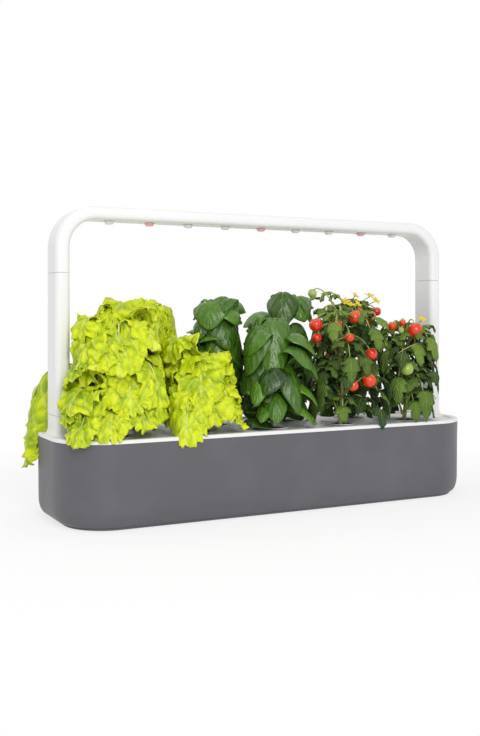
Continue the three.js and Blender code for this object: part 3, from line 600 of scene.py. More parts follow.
class Draft:
    """Gathers the points and faces of one mesh, with a finish for each face and a mark for each point."""

    def __init__(self) -> None:
        """Starts with nothing."""
        self.points: list[np.ndarray] = []
        self.marks: list[np.ndarray] = []
        self.faces: list[list[int]] = []
        self.finish_of: list[int] = []
        self.count = 0

    def add(self, points: np.ndarray, faces: list[list[int]], finish: int = 0,
            marks: np.ndarray | None = None) -> None:
        """Adds points and the faces between them.

        Args:
            points: the points, in any grid.
            faces: corner numbers, counted from the first of these points.
            finish: which of the piece's materials the faces take.
            marks: a mark for each point.
        """
        flat = points.reshape(-1, 3)
        self.points.append(flat)
        self.marks.append(np.zeros_like(flat) if marks is None else marks.reshape(-1, 3))
        self.faces.extend([corner + self.count for corner in face] for face in faces)
        self.finish_of.extend([finish] * len(faces))
        self.count += len(flat)

    def loft(self, rings: Sequence[np.ndarray], tube: bool = False, finish: int = 0,
             mark: Point = (0.0, 0.0, 0.0)) -> Draft:
        """Lays a skin over rings of equal count, capped at both ends or joined end to end.

        Args:
            rings: the rings, from the lowest up.
            tube: whether the last ring meets the first.
            finish: which of the piece's materials it takes.
            mark: the mark of all its points.

        Returns:
            The draft itself.
        """
        count, total = len(rings[0]), len(rings)
        low = np.arange(total if tube else total - 1)[:, None] * count
        high = (low + count) % (total * count)
        side = np.arange(count)[None, :]
        following = (side + 1) % count
        quads = np.stack([low + side, low + following, high + following, high + side], axis=-1)
        faces = quads.reshape(-1, 4).tolist()
        if not tube:
            faces.append(list(range(count))[::-1])
            faces.append(list(range((total - 1) * count, total * count)))
        points = np.concatenate(rings)
        self.add(points, faces, finish, np.tile(mark, (len(points), 1)))
        return self

    def turned(self, profile: Profile, centre: Sequence[float] = (0.0, 0.0), sides: int = 48,
               tube: bool = False, finish: int = 0) -> Draft:
        """Turns a profile about a vertical axis.

        Args:
            profile: pairs of radius and height, from the lowest cap to the highest.
            centre: where the axis stands.
            sides: facets round it.
            tube: whether the profile closes on itself.
            finish: which of the piece's materials it takes.

        Returns:
            The draft itself.
        """
        angle = FULL_TURN * np.arange(sides) / sides
        rings = []
        for radius, z in profile:
            x = centre[0] + radius * np.cos(angle)
            y = centre[1] + radius * np.sin(angle)
            rings.append(np.column_stack([x, y, np.full(sides, z)]))
        return self.loft(rings, tube, finish)

    def stalk(self, path: np.ndarray, radii: np.ndarray, sides: int = 8, finish: int = 0,
              tint: float = 0.5) -> None:
        """Lays a round stalk along a path.

        Args:
            path: the points that it follows.
            radii: its radius at each of them.
            sides: facets round it.
            finish: which of the piece's materials it takes.
            tint: the tint of its marks.
        """
        tangents = np.gradient(path, axis=0)
        tangents /= np.linalg.norm(tangents, axis=1)[:, None]
        side = np.cross(tangents[0], (0.31, 0.95, 0.11))
        angle = (FULL_TURN * np.arange(sides) / sides)[:, None]
        rings = []
        for point, tangent, radius in zip(path, tangents, radii):
            side = side - tangent * side.dot(tangent)
            side /= np.linalg.norm(side)
            other = np.cross(tangent, side)
            rings.append(point + radius * (np.cos(angle) * side + np.sin(angle) * other))
        self.loft(rings, finish=finish, mark=(1.0, 0.5, tint))

    def blade(self, grid: np.ndarray, thickness: float, marks: np.ndarray, upper: int = Skin.UPPER,
              under: int = Skin.UNDER) -> None:
        """Lays a thin closed leaf round a grid of points, rows from its foot to its tip.

        Args:
            grid: the points of its middle surface.
            thickness: its thickness.
            marks: a mark for each point.
            upper: the material of its upper side.
            under: the material of its underside and rim.
        """
        rows, columns = grid.shape[:2]
        normal = np.cross(np.gradient(grid, axis=1), np.gradient(grid, axis=0))
        length = np.linalg.norm(normal, axis=2)
        flat = length < 1e-12
        normal[flat] = normal[~flat].mean(axis=0)
        length[flat] = np.linalg.norm(normal[flat], axis=1)
        normal *= -thickness / 2 / length[..., None]
        index = np.arange(rows * columns).reshape(rows, columns)
        quads = np.stack([index[:-1, :-1], index[:-1, 1:], index[1:, 1:], index[1:, :-1]], axis=-1)
        quads = quads.reshape(-1, 4)
        rim = [*index[0, :-1], *index[:-1, -1], *index[-1, :0:-1], *index[:0:-1, 0]]
        start, lower = self.count, rows * columns
        self.add(np.concatenate([grid + normal, grid - normal]), quads.tolist(), upper,
                 np.concatenate([marks, marks]))
        border = [[a + lower, b + lower, b, a] for a, b in zip(rim, rim[1:] + rim[:1])]
        below = (quads[:, ::-1] + lower).tolist() + [[int(c) for c in face] for face in border]
        self.faces.extend([corner + start for corner in face] for face in below)
        self.finish_of.extend([under] * len(below))

    def piece(self, name: str, finishes: Sequence[Material], sharp: float = SHARP_ANGLE, even: bool = True,
              merged: bool = False) -> Object:
        """Makes the object.

        Args:
            name: the object's name.
            finishes: its materials.
            sharp: edges that turn by more than these degrees stay sharp.
            even: whether large faces shade flat up to their rounded edges.
            merged: whether points that meet become one.

        Returns:
            The object, in the scene.
        """
        mesh = bpy.data.meshes.new(name)
        mesh.from_pydata(np.concatenate(self.points).tolist(), [], self.faces)
        mesh.polygons.foreach_set("material_index", self.finish_of)
        stored = mesh.attributes.new("blade", "FLOAT_VECTOR", "POINT")
        stored.data.foreach_set("vector", np.concatenate(self.marks).ravel())
        for finish in finishes:
            mesh.materials.append(finish)
        if merged:
            shape = bmesh.new()
            shape.from_mesh(mesh)
            bmesh.ops.remove_doubles(shape, verts=shape.verts, dist=1e-6)
            shape.to_mesh(mesh)
            shape.free()
        mesh.update()
        obj = bpy.data.objects.new(name, mesh)
        bpy.context.scene.collection.objects.link(obj)
        smooth(obj, sharp, even)
        return obj

    def tool(self) -> Object:
        """Makes an object that is only used to cut or join."""
        return self.piece("tool", [], even=False)


def settle(obj: Object) -> None:
    """Turns an object's modifiers into plain mesh.

    Args:
        obj: the object.
    """
    graph = bpy.context.evaluated_depsgraph_get()
    mesh = bpy.data.meshes.new_from_object(obj.evaluated_get(graph), preserve_all_data_layers=True,
                                           depsgraph=graph)
    obj.modifiers.clear()
    old, obj.data = obj.data, mesh
    mesh.name = old.name
    bpy.data.meshes.remove(old)


def smooth(obj: Object, sharp: float = SHARP_ANGLE, even: bool = True) -> None:
    """Shades an object smoothly between its sharp edges.

    Args:
        obj: the object.
        sharp: edges that turn by more than these degrees stay sharp.
        even: whether large faces shade flat up to their rounded edges.
    """
    obj.data.shade_smooth()
    obj.data.set_sharp_from_angle(angle=math.radians(sharp))
    if even:
        weighted = obj.modifiers.new("even_shading", "WEIGHTED_NORMAL")
        weighted.keep_sharp = True
        settle(obj)


def carve(base: Object, tools: Sequence[Object], carving: Carving = Carving.CUT) -> None:
    """Cuts tools out of an object, or joins them to it, and removes them.

    Args:
        base: the object that stays.
        tools: the objects that are used up.
        carving: whether they are cut out or joined.
    """
    rack = bpy.data.collections.new("tools")
    for tool in tools:
        rack.objects.link(tool)
    boolean = base.modifiers.new("carve", "BOOLEAN")
    boolean.operation = carving.value
    boolean.operand_type = "COLLECTION"
    boolean.collection = rack
    boolean.solver = "EXACT"
    settle(base)
    for tool in tools:
        mesh = tool.data
        bpy.data.objects.remove(tool)
        bpy.data.meshes.remove(mesh)
    bpy.data.collections.remove(rack)
    smooth(base)


def block(low: Sequence[float], high: Sequence[float]) -> Object:
    """Makes a tool with flat faces between its lowest and highest corners."""
    corners = ((low[0], low[1]), (high[0], low[1]), (high[0], high[1]), (low[0], high[1]))
    return Draft().loft([np.array([(x, y, z) for x, y in corners]) for z in (low[2], high[2])]).tool()


def add_piece(piece: Object, body: str, slot: str, *nodes: str) -> None:
    """Gives a piece its body and hides the nodes that it stands for.

    Args:
        piece: the object.
        body: the body that it rides on.
        slot: the record's material slot; not used.
        nodes: the nodes that it replaces.
    """
    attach(piece, body)
    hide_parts(*nodes)
    log.info("%s on %s: %d faces", piece.name, body, len(piece.data.polygons))


WHITE_PLASTIC = MouldedPlastic("white_plastic", (0.84, 0.835, 0.825), roughness=0.36)
LEG_PLASTIC = MouldedPlastic("leg_plastic", (0.84, 0.835, 0.84), roughness=0.34)


@dataclass
class Tank:
    """The grey water tank: one open shell with a soft bottom edge, a foot ring and recesses for its pads."""

    corner: float = 0.066
    wall: float = 0.0026
    floor: float = 0.0032
    draft: float = 0.001
    hem_end_inset: float = 0.013
    hem_side_inset: float = 0.006
    hem_corner_loss: float = 0.010
    hem_rise: float = 0.021
    ring_inset: float = 0.0017
    ring_height: float = 0.0035
    lip: float = 0.0006
    pad_fit: float = 0.0004
    pad_groove: float = 0.0003
    pad_grooves: int = 3
    hem_steps: int = 14
    edge_outside: float = 0.02
    edge_inside: float = 0.01
    finish: MouldedPlastic = MouldedPlastic("tank_plastic", (0.103, 0.100, 0.113), 0.42, 0.00004, 0.02)
    pad_finish: SoftRubber = SoftRubber("pad_rubber", (0.018, 0.018, 0.02))

    def __post_init__(self) -> None:
        """Reads the tank's size from the frame."""
        low, high = span("tank")
        self.half_x, self.half_y = float(high[0]), float(high[1])
        self.foot, self.top = float(low[2]), float(high[2])

    def outline(self, z: float, inset: float, end_inset: float | None = None,
                corner_loss: float | None = None) -> np.ndarray:
        """The plan outline at a height.

        Args:
            z: the height.
            inset: how far it is drawn in along the sides.
            end_inset: how far it is drawn in at the ends, where that differs.
            corner_loss: how much smaller its corners are, where that differs.

        Returns:
            The ring's points.
        """
        end = inset if end_inset is None else end_inset
        loss = inset if corner_loss is None else corner_loss
        return level_ring(z, self.half_x - end, self.half_y - inset, self.corner - loss)

    def hem(self, share: float, wall: float, floor: float) -> np.ndarray:
        """A ring of the soft bottom edge.

        Args:
            share: 0 where the edge leaves the wall and 1 where it ends underneath.
            wall: how far inside the outer face the ring lies.
            floor: how far above the underside it lies.

        Returns:
            The ring's points.
        """
        inward = 1 - math.cos(share * QUARTER)
        z = self.foot + self.ring_height + self.hem_rise * (1 - math.sin(share * QUARTER)) + floor
        side = self.draft + wall + (self.hem_side_inset - self.draft) * inward
        end = self.draft + wall + (self.hem_end_inset - self.draft) * inward
        return self.outline(z, side, end, self.draft + wall + self.hem_corner_loss * inward)

    def foot_ring(self, z: float, inset: float = 0.0) -> np.ndarray:
        """The foot ring's outline at a height, drawn in by an inset."""
        ring = self.ring_inset + inset
        return self.outline(z, self.hem_side_inset + ring, self.hem_end_inset + ring,
                            self.hem_corner_loss + ring)

    def build(self) -> None:
        """Makes the shell and its four pads."""
        hem_shares = shares(self.hem_steps)
        rings = [self.foot_ring(self.foot, self.lip), self.foot_ring(self.foot + self.lip),
                 self.foot_ring(self.foot + self.ring_height)]
        rings += [self.hem(share, 0.0, 0.0) for share in hem_shares[::-1]]
        edge = soften([(self.draft / 2, self.top - self.edge_outside, 0), (0.0, self.top, self.lip),
                       (self.wall, self.top, self.lip), (self.wall, self.top - self.edge_inside, 0)])
        rings += [self.outline(z, inset) for inset, z in edge]
        rings += [self.hem(share, self.wall, self.floor) for share in hem_shares]
        shell = Draft().loft(rings).piece("tank_shell", [self.finish.material()])
        pads = [f"foot_{row}_{side}" for row in ("front", "back") for side in ("left", "right")]
        recesses = []
        for node in pads:
            radius = radius_of(node) + self.pad_fit
            profile = [(radius, -OVERRUN / 2), (radius, span(node)[1][2] + self.pad_fit)]
            recesses.append(Draft().turned(profile, middle_of(node)).tool())
        carve(shell, recesses)
        add_piece(shell, "tank", "tank_grey", "tank")
        rubber = self.pad_finish.material()
        for node in pads:
            self.build_pad(node, rubber)

    def build_pad(self, node: str, rubber: Material) -> None:
        """Makes one pad with rings pressed into its sole.

        Args:
            node: the pad's node.
            rubber: its material.
        """
        low, high = span(node)
        radius, height, groove = radius_of(node), high[2] - low[2], self.pad_groove
        pitch = radius / (self.pad_grooves + 2)
        corners = [(pitch / 2, 0.0, 0)]
        for k in range(self.pad_grooves):
            start = (k + 1) * pitch + pitch / 2
            corners += [(start, 0.0, 0), (start, groove, 0), (start + groove, groove, 0),
                        (start + groove, 0.0, 0)]
        corners += [(radius, 0.0, height / 3), (radius, height, 0.0)]
        pad = Draft().turned(soften(corners), middle_of(node)).piece(node + "_pad", [rubber])
        add_piece(pad, "tank", "pad_rubber", node)


@dataclass
class LegSection:
    """The round-cornered section that the stubs, posts and arch share, and the tenons that join them."""

    thickness: float = 0.019
    depth: float = 0.043
    corner: float = 0.007
    wall: float = 0.0022
    seam_chamfer: float = 0.0004
    steps: int = 8
    tenon_inset: float = 0.0025
    tenon_chamfer: float = 0.001
    bore_half: tuple[float, float] = (0.0032, 0.0082)

    def ring(self, x: float, z: float, inset: float = 0.0) -> np.ndarray:
        """The section of a leg that stands at x, at a height and drawn in by an inset."""
        return level_ring(z, self.thickness / 2 - inset, self.depth / 2 - inset, self.corner - inset,
                          self.steps) + np.array([x, 0.0, 0.0])

    def tenon(self, x: float, shoulder: float, top: float) -> list[np.ndarray]:
        """The rings of a leg's chamfered shoulder and of the tenon on it, by the heights of their tops."""
        levels = [(shoulder - self.seam_chamfer, 0.0), (shoulder, self.seam_chamfer),
                  (shoulder, self.tenon_inset), (top - self.tenon_chamfer, self.tenon_inset),
                  (top, self.tenon_inset + self.tenon_chamfer)]
        return [self.ring(x, z, inset) for z, inset in levels]

    def centre(self, side: int) -> float:
        """Where the left leg, for side -1, or the right leg, for side 1, stands along X."""
        return float(middle_of("post_left" if side < 0 else "post_right")[0])


@dataclass
class Lid:
    """The white lid: a deck in a raised rim, nine cup holes, two flared stubs with tenons, a gauge tube."""

    tank: Tank
    leg: LegSection
    rim_width: float = 0.009
    rim_slope: float = 0.0016
    rim_round: float = 0.00182
    inner_round: float = 0.0009
    deck_recess: float = 0.0028
    deck_thickness: float = 0.0022
    deck_lap: float = 0.003
    skirt_inset: float = 0.0031
    skirt_thickness: float = 0.002
    skirt_depth: float = 0.0074
    skirt_round: float = 0.0005
    stub_height: float = 0.0248
    stub_sink: float = 0.0005
    flare_width: float = 0.006
    flare_height: float = 0.009
    flare_steps: int = 10
    bore_rise: float = 0.0088
    cup_fit: float = 0.0005
    cup_seat: float = 0.001
    hole_bevel: float = 0.0004
    gauge_wall: float = 0.0016
    gauge_fit: float = 0.0008
    gauge_lip: float = 0.0035
    window_width: float = 0.009
    window_height: float = 0.034
    filler_half: tuple[float, float] = (0.012, 0.0095)
    filler_from_gauge: float = 0.029
    float_height: float = 0.014
    stem_radius: float = 0.0022
    tip_radius: float = 0.005
    inlet_sides: int = 40
    pin_drop: float = 0.0015

    def __post_init__(self) -> None:
        """Reads the lid's heights from the frame."""
        low, high = span("lid")
        self.foot, self.tenon_top = float(low[2]), float(high[2])
        self.top = span("post_left")[0][2] - FIT - self.stub_height
        self.deck_top = self.top - self.deck_recess
        self.deck_bottom = self.deck_top - self.deck_thickness
        self.gauge = middle_of("float_gauge")
        self.gauge_bore = radius_of("float_gauge") + self.gauge_fit

    def tray(self) -> Object:
        """Makes the deck, its rim and the skirt inside the tank's wall.

        Returns:
            The object.
        """
        skirt_foot = self.tank.top - self.skirt_depth
        inner = self.skirt_inset + self.skirt_thickness
        under = self.tank.top + FIT
        deck = self.rim_width + self.rim_slope
        profile = soften([
            (inner, self.deck_bottom, 0), (inner, skirt_foot, self.skirt_round),
            (self.skirt_inset, skirt_foot, self.skirt_round), (self.skirt_inset, under, 0), (0.0, under, FIT),
            (0.0, self.top, self.rim_round), (self.rim_width, self.top, self.inner_round),
            (deck, self.deck_top, self.inner_round), (deck + self.deck_lap, self.deck_top, 0),
        ], steps=6)
        draft = Draft().loft([self.tank.outline(z, inset) for inset, z in profile])
        return draft.piece("lid_moulding", [WHITE_PLASTIC.material()])

    def stub(self, side: int) -> Object:
        """A leg's foot: it flares out of the rim, rises to the seam and ends in a tenon.

        Args:
            side: -1 for the left leg and 1 for the right.

        Returns:
            The tool that joins it to the lid.
        """
        x = self.leg.centre(side)
        rings = [self.leg.ring(x, self.deck_bottom + self.stub_sink, -self.flare_width)]
        for share in shares(self.flare_steps):
            width = self.flare_width * (1 - math.sin(share * QUARTER))
            z = self.top + self.flare_height * (1 - math.cos(share * QUARTER))
            rings.append(self.leg.ring(x, z, -width))
        rings += self.leg.tenon(x, self.top + self.stub_height, self.tenon_top)
        return Draft().loft(rings).tool()

    def gauge_tube(self) -> Object:
        """Makes the tube that guides the float, open at its foot.

        Returns:
            The tool that joins it to the lid.
        """
        bore, shelf = self.gauge_bore, self.foot + self.gauge_wall
        outer, lip = bore + self.gauge_wall, bore - self.gauge_lip
        mid_deck = (self.deck_top + self.deck_bottom) / 2
        profile = [(lip, self.foot), (outer, self.foot), (outer, mid_deck), (bore, mid_deck), (bore, shelf),
                   (lip, shelf)]
        return Draft().turned(profile, self.gauge, tube=True).tool()

    def hole(self, centre: np.ndarray, bore: float, seat: float | None = None) -> Object:
        """Makes a tool for a bevelled round hole in the deck.

        Args:
            centre: where the hole lies.
            bore: its radius.
            seat: the radius of the shallow seat for a flange, where it has one.

        Returns:
            The tool.
        """
        bevel = self.hole_bevel
        profile = [(bore, self.deck_bottom - OVERRUN)]
        widest = bore
        if seat is not None:
            level = self.deck_top - self.cup_seat
            profile += [(bore, level - bevel), (bore + bevel, level), (seat, level)]
            widest = seat
        profile += [(widest, self.deck_top - bevel), (widest + bevel, self.deck_top),
                    (widest + bevel, self.deck_top + OVERRUN)]
        return Draft().turned(profile, centre, sides=64).tool()

    def bore(self, side: int) -> Object:
        """A tool for the bore that carries the contacts through the stub on one side."""
        x, (half_x, half_y) = self.leg.centre(side), self.leg.bore_half
        return block((x - half_x, -half_y, self.top + self.bore_rise),
                     (x + half_x, half_y, self.tenon_top + OVERRUN / 2))

    def at_inlet(self, piece: Object, recess: float = 0.0) -> Object:
        """Turns a piece drawn about Z to the inlet's axis, and moves it there.

        Args:
            piece: the object.
            recess: how far it lies in front of the inlet's place.

        Returns:
            The object.
        """
        middle = middle_of("power_inlet")
        piece.data.transform(Matrix.Rotation(-QUARTER, 4, "X"))
        piece.data.transform(Matrix.Translation((middle[0], span("power_inlet")[0][1] - recess, middle[2])))
        return piece

    def inlet_pocket(self) -> Object:
        """Makes a tool for the power inlet's round pocket in the right stub's back.

        Returns:
            The tool.
        """
        low, high = span("power_inlet")
        radius = radius_of("power_inlet", 1) + FIT
        profile = [(radius, 0.0), (radius, high[1] - low[1] + OVERRUN)]
        return self.at_inlet(Draft().turned(profile, sides=self.inlet_sides).tool(), FIT)

    def filler(self) -> Object:
        """Makes a tool for the filler slot beside the gauge.

        Returns:
            The tool.
        """
        (half_x, half_y), bevel = self.filler_half, self.hole_bevel
        levels = [(self.deck_bottom - OVERRUN, 0.0), (self.deck_top - bevel, 0.0), (self.deck_top, bevel),
                  (self.deck_top + OVERRUN, bevel)]
        shift = np.array([self.gauge[0] - self.filler_from_gauge, self.gauge[1], 0.0])
        return Draft().loft([level_ring(z, half_x + out, half_y + out, half_y + out - FIT, 10) + shift
                             for z, out in levels]).tool()

    def window(self) -> Object:
        """Makes a tool for the two windows in the gauge tube.

        Returns:
            The tool.
        """
        x, y = self.gauge[:2]
        reach = self.gauge_bore + self.gauge_wall + OVERRUN / 2
        foot = self.foot + self.gauge_wall + self.gauge_lip
        return block((x - self.window_width / 2, y - reach, foot),
                     (x + self.window_width / 2, y + reach, foot + self.window_height))

    def build(self) -> None:
        """Makes the lid, cuts its holes and adds the float and the inlet."""
        lid = self.tray()
        carve(lid, [self.stub(-1), self.stub(1), self.gauge_tube()], Carving.JOIN)
        holes = []
        for number in range(1, POD_COUNT + 1):
            seat = radius_of(f"cup_{number}") + self.cup_fit
            holes.append(self.hole(middle_of(f"cup_{number}"), seat - CUP_FLANGE, seat))
        holes += [self.hole(self.gauge, self.gauge_bore), self.bore(-1), self.bore(1), self.inlet_pocket(),
                  self.filler()]
        carve(lid, holes)
        carve(lid, [self.window()])
        add_piece(lid, "lid", "lid_white", "lid")
        self.build_float()
        self.build_inlet()

    def build_float(self) -> None:
        """Makes the float with its stem and the ribbed tip that shows in the deck."""
        low, high = span("float_gauge")
        radius, foot, head = radius_of("float_gauge"), low[2], high[2]
        stem, tip, body = self.stem_radius, self.tip_radius, foot + self.float_height
        profile = soften([
            (0.001, foot, 0), (radius, foot, 0.003), (radius, body, 0.004), (stem, body + 0.001, 0.001),
            (stem, head - 0.006, 0.0006), (tip, head - 0.005, 0.0006), (tip, head - 0.003, 0),
            (tip - 0.0004, head - 0.0026, 0), (tip, head - 0.0022, 0), (tip, head, 0.001),
            (0.002, head, 0.0003), (0.0018, head - 0.0004, 0.0002), (0.0003, head - 0.0004, 0),
        ])
        finish = MouldedPlastic("float_plastic", (0.72, 0.73, 0.74), 0.3)
        piece = Draft().turned(profile, self.gauge).piece("water_float", [finish.material()])
        add_piece(piece, "float", "float_white", "float_gauge")

    def build_inlet(self) -> None:
        """Makes the power inlet: a moulded collar with its socket and centre pin."""
        low, high = span("power_inlet")
        radius, depth = radius_of("power_inlet", 1), high[1] - low[1]
        bore, pin, floor, pin_top = radius * 0.62, radius * 0.22, depth * 0.35, depth - self.pin_drop
        profile = soften([
            (0.0003, 0.0, 0), (radius, 0.0, 0.0004), (radius, depth, 0.0005), (bore, depth, 0.0006),
            (bore, floor, 0.0004), (pin, floor, 0.0002), (pin, pin_top, 0.0006), (0.0002, pin_top, 0),
        ])
        finish = MouldedPlastic("inlet_plastic", (0.012, 0.012, 0.013), 0.35)
        piece = Draft().turned(profile, sides=self.inlet_sides).piece("power_socket", [finish.material()])
        add_piece(self.at_inlet(piece), "lid", "inlet_black", "power_inlet")


@dataclass
class Posts:
    """The two extension posts: tubes that drop over the lid's tenons and carry tenons of their own."""

    leg: LegSection

    def build(self) -> None:
        """Makes both posts."""
        plastic = LEG_PLASTIC.material()
        leg, shoulder = self.leg, span("arch")[0][2] - FIT
        for side, node in ((-1, "post_left"), (1, "post_right")):
            low, high = span(node)
            x, foot, ceiling = leg.centre(side), low[2], shoulder - leg.wall
            rings = [leg.ring(x, foot, leg.seam_chamfer), leg.ring(x, foot + leg.seam_chamfer)]
            rings += leg.tenon(x, shoulder, high[2])
            rings += [level_ring(z, *leg.bore_half, FIT, leg.steps) + np.array([x, 0.0, 0.0])
                      for z in (high[2], ceiling)]
            rings += [leg.ring(x, ceiling, leg.wall), leg.ring(x, foot, leg.wall)]
            post = Draft().loft(rings, tube=True).piece(node + "_tube", [plastic])
            add_piece(post, node, "leg_white", node)


@dataclass
class LampArch:
    """The lamp arch: a hollow bent tube, the strip that closes its underside, and nine lenses."""

    leg: LegSection
    bar_thickness: float = 0.0167
    bend_radius: float = 0.052
    bend_steps: int = 22
    slot_fit: float = 0.0003
    slot_depth: float = 0.002
    cover_corner: float = 0.005
    cover_steps: int = 8
    bevel: float = 0.0004
    lens_neck: float = 0.0045
    lens_face_share: float = 0.69
    red_lamps: tuple[int, ...] = (2, 5, 8)
    red: ClearLens = ClearLens("lens_plastic_red", (0.86, 0.24, 0.30), (0.96, 0.46, 0.52))
    clear: ClearLens = ClearLens("lens_plastic_clear", (0.62, 0.64, 0.65), (0.86, 0.86, 0.85))

    def stations(self) -> list[tuple[np.ndarray, np.ndarray]]:
        """Follows the section from the left arm's foot over the bar to the right arm's.

        Returns:
            The outer and inner point of each station.
        """
        low, high = span("arch")
        outer_x, bend_foot = float(high[0]), float(high[2]) - self.bend_radius
        inner_x, inner_bend = outer_x - self.leg.thickness, self.bend_radius - self.bar_thickness
        foot = low[2] + self.leg.seam_chamfer
        found = []
        for side in (-1, 1):
            bend = [(np.array([side * outer_x, 0, foot]), np.array([side * inner_x, 0, foot]))]
            for turn in shares(self.bend_steps) * QUARTER:
                inward, rise = 1 - math.cos(turn), math.sin(turn)
                bend.append(tuple(np.array([side * (x - radius * inward), 0, bend_foot + radius * rise])
                                  for x, radius in ((outer_x, self.bend_radius), (inner_x, inner_bend))))
            found += bend if side < 0 else bend[::-1]
        return found

    def section(self, outer: np.ndarray, inner: np.ndarray, inset: float) -> np.ndarray:
        """The tube's section at one station.

        Args:
            outer: the station's point on the outside of the bend.
            inner: its point on the inside.
            inset: how far the section is drawn in.

        Returns:
            The ring's points.
        """
        inward = inner - outer
        thickness = float(np.linalg.norm(inward))
        flat = level_ring(0.0, thickness / 2 - inset, self.leg.depth / 2 - inset, self.leg.corner - inset,
                          self.leg.steps)
        points = (outer + inner) / 2 + flat[:, :1] * inward / thickness
        points[:, 1] = flat[:, 1]
        return points

    def tube(self) -> Object:
        """Makes the bent tube, with chamfered feet.

        Returns:
            The object.
        """
        stations, chamfer = self.stations(), self.leg.seam_chamfer
        drop = np.array([0.0, 0.0, -chamfer])
        first, last = (self.section(*stations[end], chamfer) + drop for end in (0, -1))
        outer = [self.section(*station, 0.0) for station in stations]
        inner = [self.section(*station, self.leg.wall) for station in stations]
        inner[0], inner[-1] = inner[0] + drop, inner[-1] + drop
        draft = Draft().loft([first, *outer, last, *inner[::-1]], tube=True)
        return draft.piece("arch_tube", [LEG_PLASTIC.material()])

    def strip(self, inset: float, levels: Sequence[tuple[float, float]]) -> Draft:
        """Draws the cover's plan, drawn in by an inset and by each level's own, at each level's height."""
        half = span("light_cover")[1] - inset
        return Draft().loft([level_ring(z, half[0] - own, half[1] - own, self.cover_corner - inset - own,
                                        self.cover_steps) for z, own in levels])

    def build(self) -> None:
        """Makes the arch, its cover and its lenses."""
        low, high = span("light_cover")
        arch = self.tube()
        levels = ((low[2] - OVERRUN / 2, -self.bevel), (low[2], -self.bevel), (low[2] + self.bevel, 0.0),
                  (high[2] + self.slot_depth, 0.0))
        carve(arch, [self.strip(-self.slot_fit, levels).tool()])
        add_piece(arch, "arch", "leg_white", "arch")
        self.build_cover(low[2], high[2])
        red, clear = self.red.material(), self.clear.material()
        for number in range(1, LENS_COUNT + 1):
            is_red = number in self.red_lamps
            piece = self.lens(f"lens_{number}").piece(f"lamp_lens_{number}", [red if is_red else clear])
            add_piece(piece, "arch", "lens_red" if is_red else "lens_clear", f"lens_{number}")

    def build_cover(self, foot: float, top: float) -> None:
        """Makes the strip under the bar, with a bevelled hole for each lens.

        Args:
            foot: the height of its underside.
            top: the height of its upper side.
        """
        levels = ((foot, self.bevel), (foot + self.bevel, 0.0), (top, 0.0))
        cover = self.strip(0.0, levels).piece("lamp_cover", [WHITE_PLASTIC.material()])
        neck, bevel = self.lens_neck + FIT, self.bevel * 2
        profile = [(neck + bevel, foot - OVERRUN / 2), (neck + bevel, foot), (neck, foot + bevel),
                   (neck, top + OVERRUN / 2)]
        carve(cover, [Draft().turned(profile, middle_of(f"lens_{number}")).tool()
                      for number in range(1, LENS_COUNT + 1)])
        add_piece(cover, "arch", "cover_white", "light_cover")

    def lens(self, node: str) -> Draft:
        """Draws one lens: a neck through the cover, a flared bell and a domed, ringed face.

        Args:
            node: the lens's node.

        Returns:
            The draft.
        """
        low, high = span(node)
        bell, neck, foot = radius_of(node), self.lens_neck, low[2]
        face, shelf = bell * self.lens_face_share, span("light_cover")[0][2] - FIT
        profile = soften([
            (0.0003, foot, 0), (face * 0.45, foot + 0.0001, 0.0002), (face * 0.5, foot + 0.0005, 0.0002),
            (face * 0.7, foot + 0.0004, 0.0002), (face * 0.76, foot, 0.0002), (face, foot, 0.0016),
            (bell * 0.9, (foot + shelf) / 2, 0.0018), (bell, shelf - 0.0006, 0.0005), (bell, shelf, 0.0002),
            (neck, shelf, 0.0001), (neck, high[2], 0),
        ])
        return Draft().turned(profile, middle_of(node), sides=40)


@dataclass
class Boards:
    """The boards and contacts inside the legs and the bar, which keep their shapes and get their finishes."""

    aluminium: WornMetal = WornMetal("board_aluminium", (0.62, 0.63, 0.64), (0.48, 0.48, 0.5))
    brass: WornMetal = WornMetal("contact_brass", (0.72, 0.52, 0.22), (0.45, 0.3, 0.12))
    circuit: CircuitBoard = CircuitBoard("timer_circuit", (0.02, 0.14, 0.06), (0.1, 0.3, 0.12))

    def build(self) -> None:
        """Dresses the five nodes that stay as they are."""
        contacts = [f"{place}_contact" for place in ("base", "post", "arch")]
        for finish, nodes in ((self.aluminium, ["led_board"]), (self.circuit, ["timer_board"]),
                              (self.brass, contacts)):
            material = finish.material()
            for node in nodes:
                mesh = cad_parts[node].data
                mesh.materials.clear()
                mesh.materials.append(material)
                log.info("%s keeps its shape and gets %s", node, finish.name)


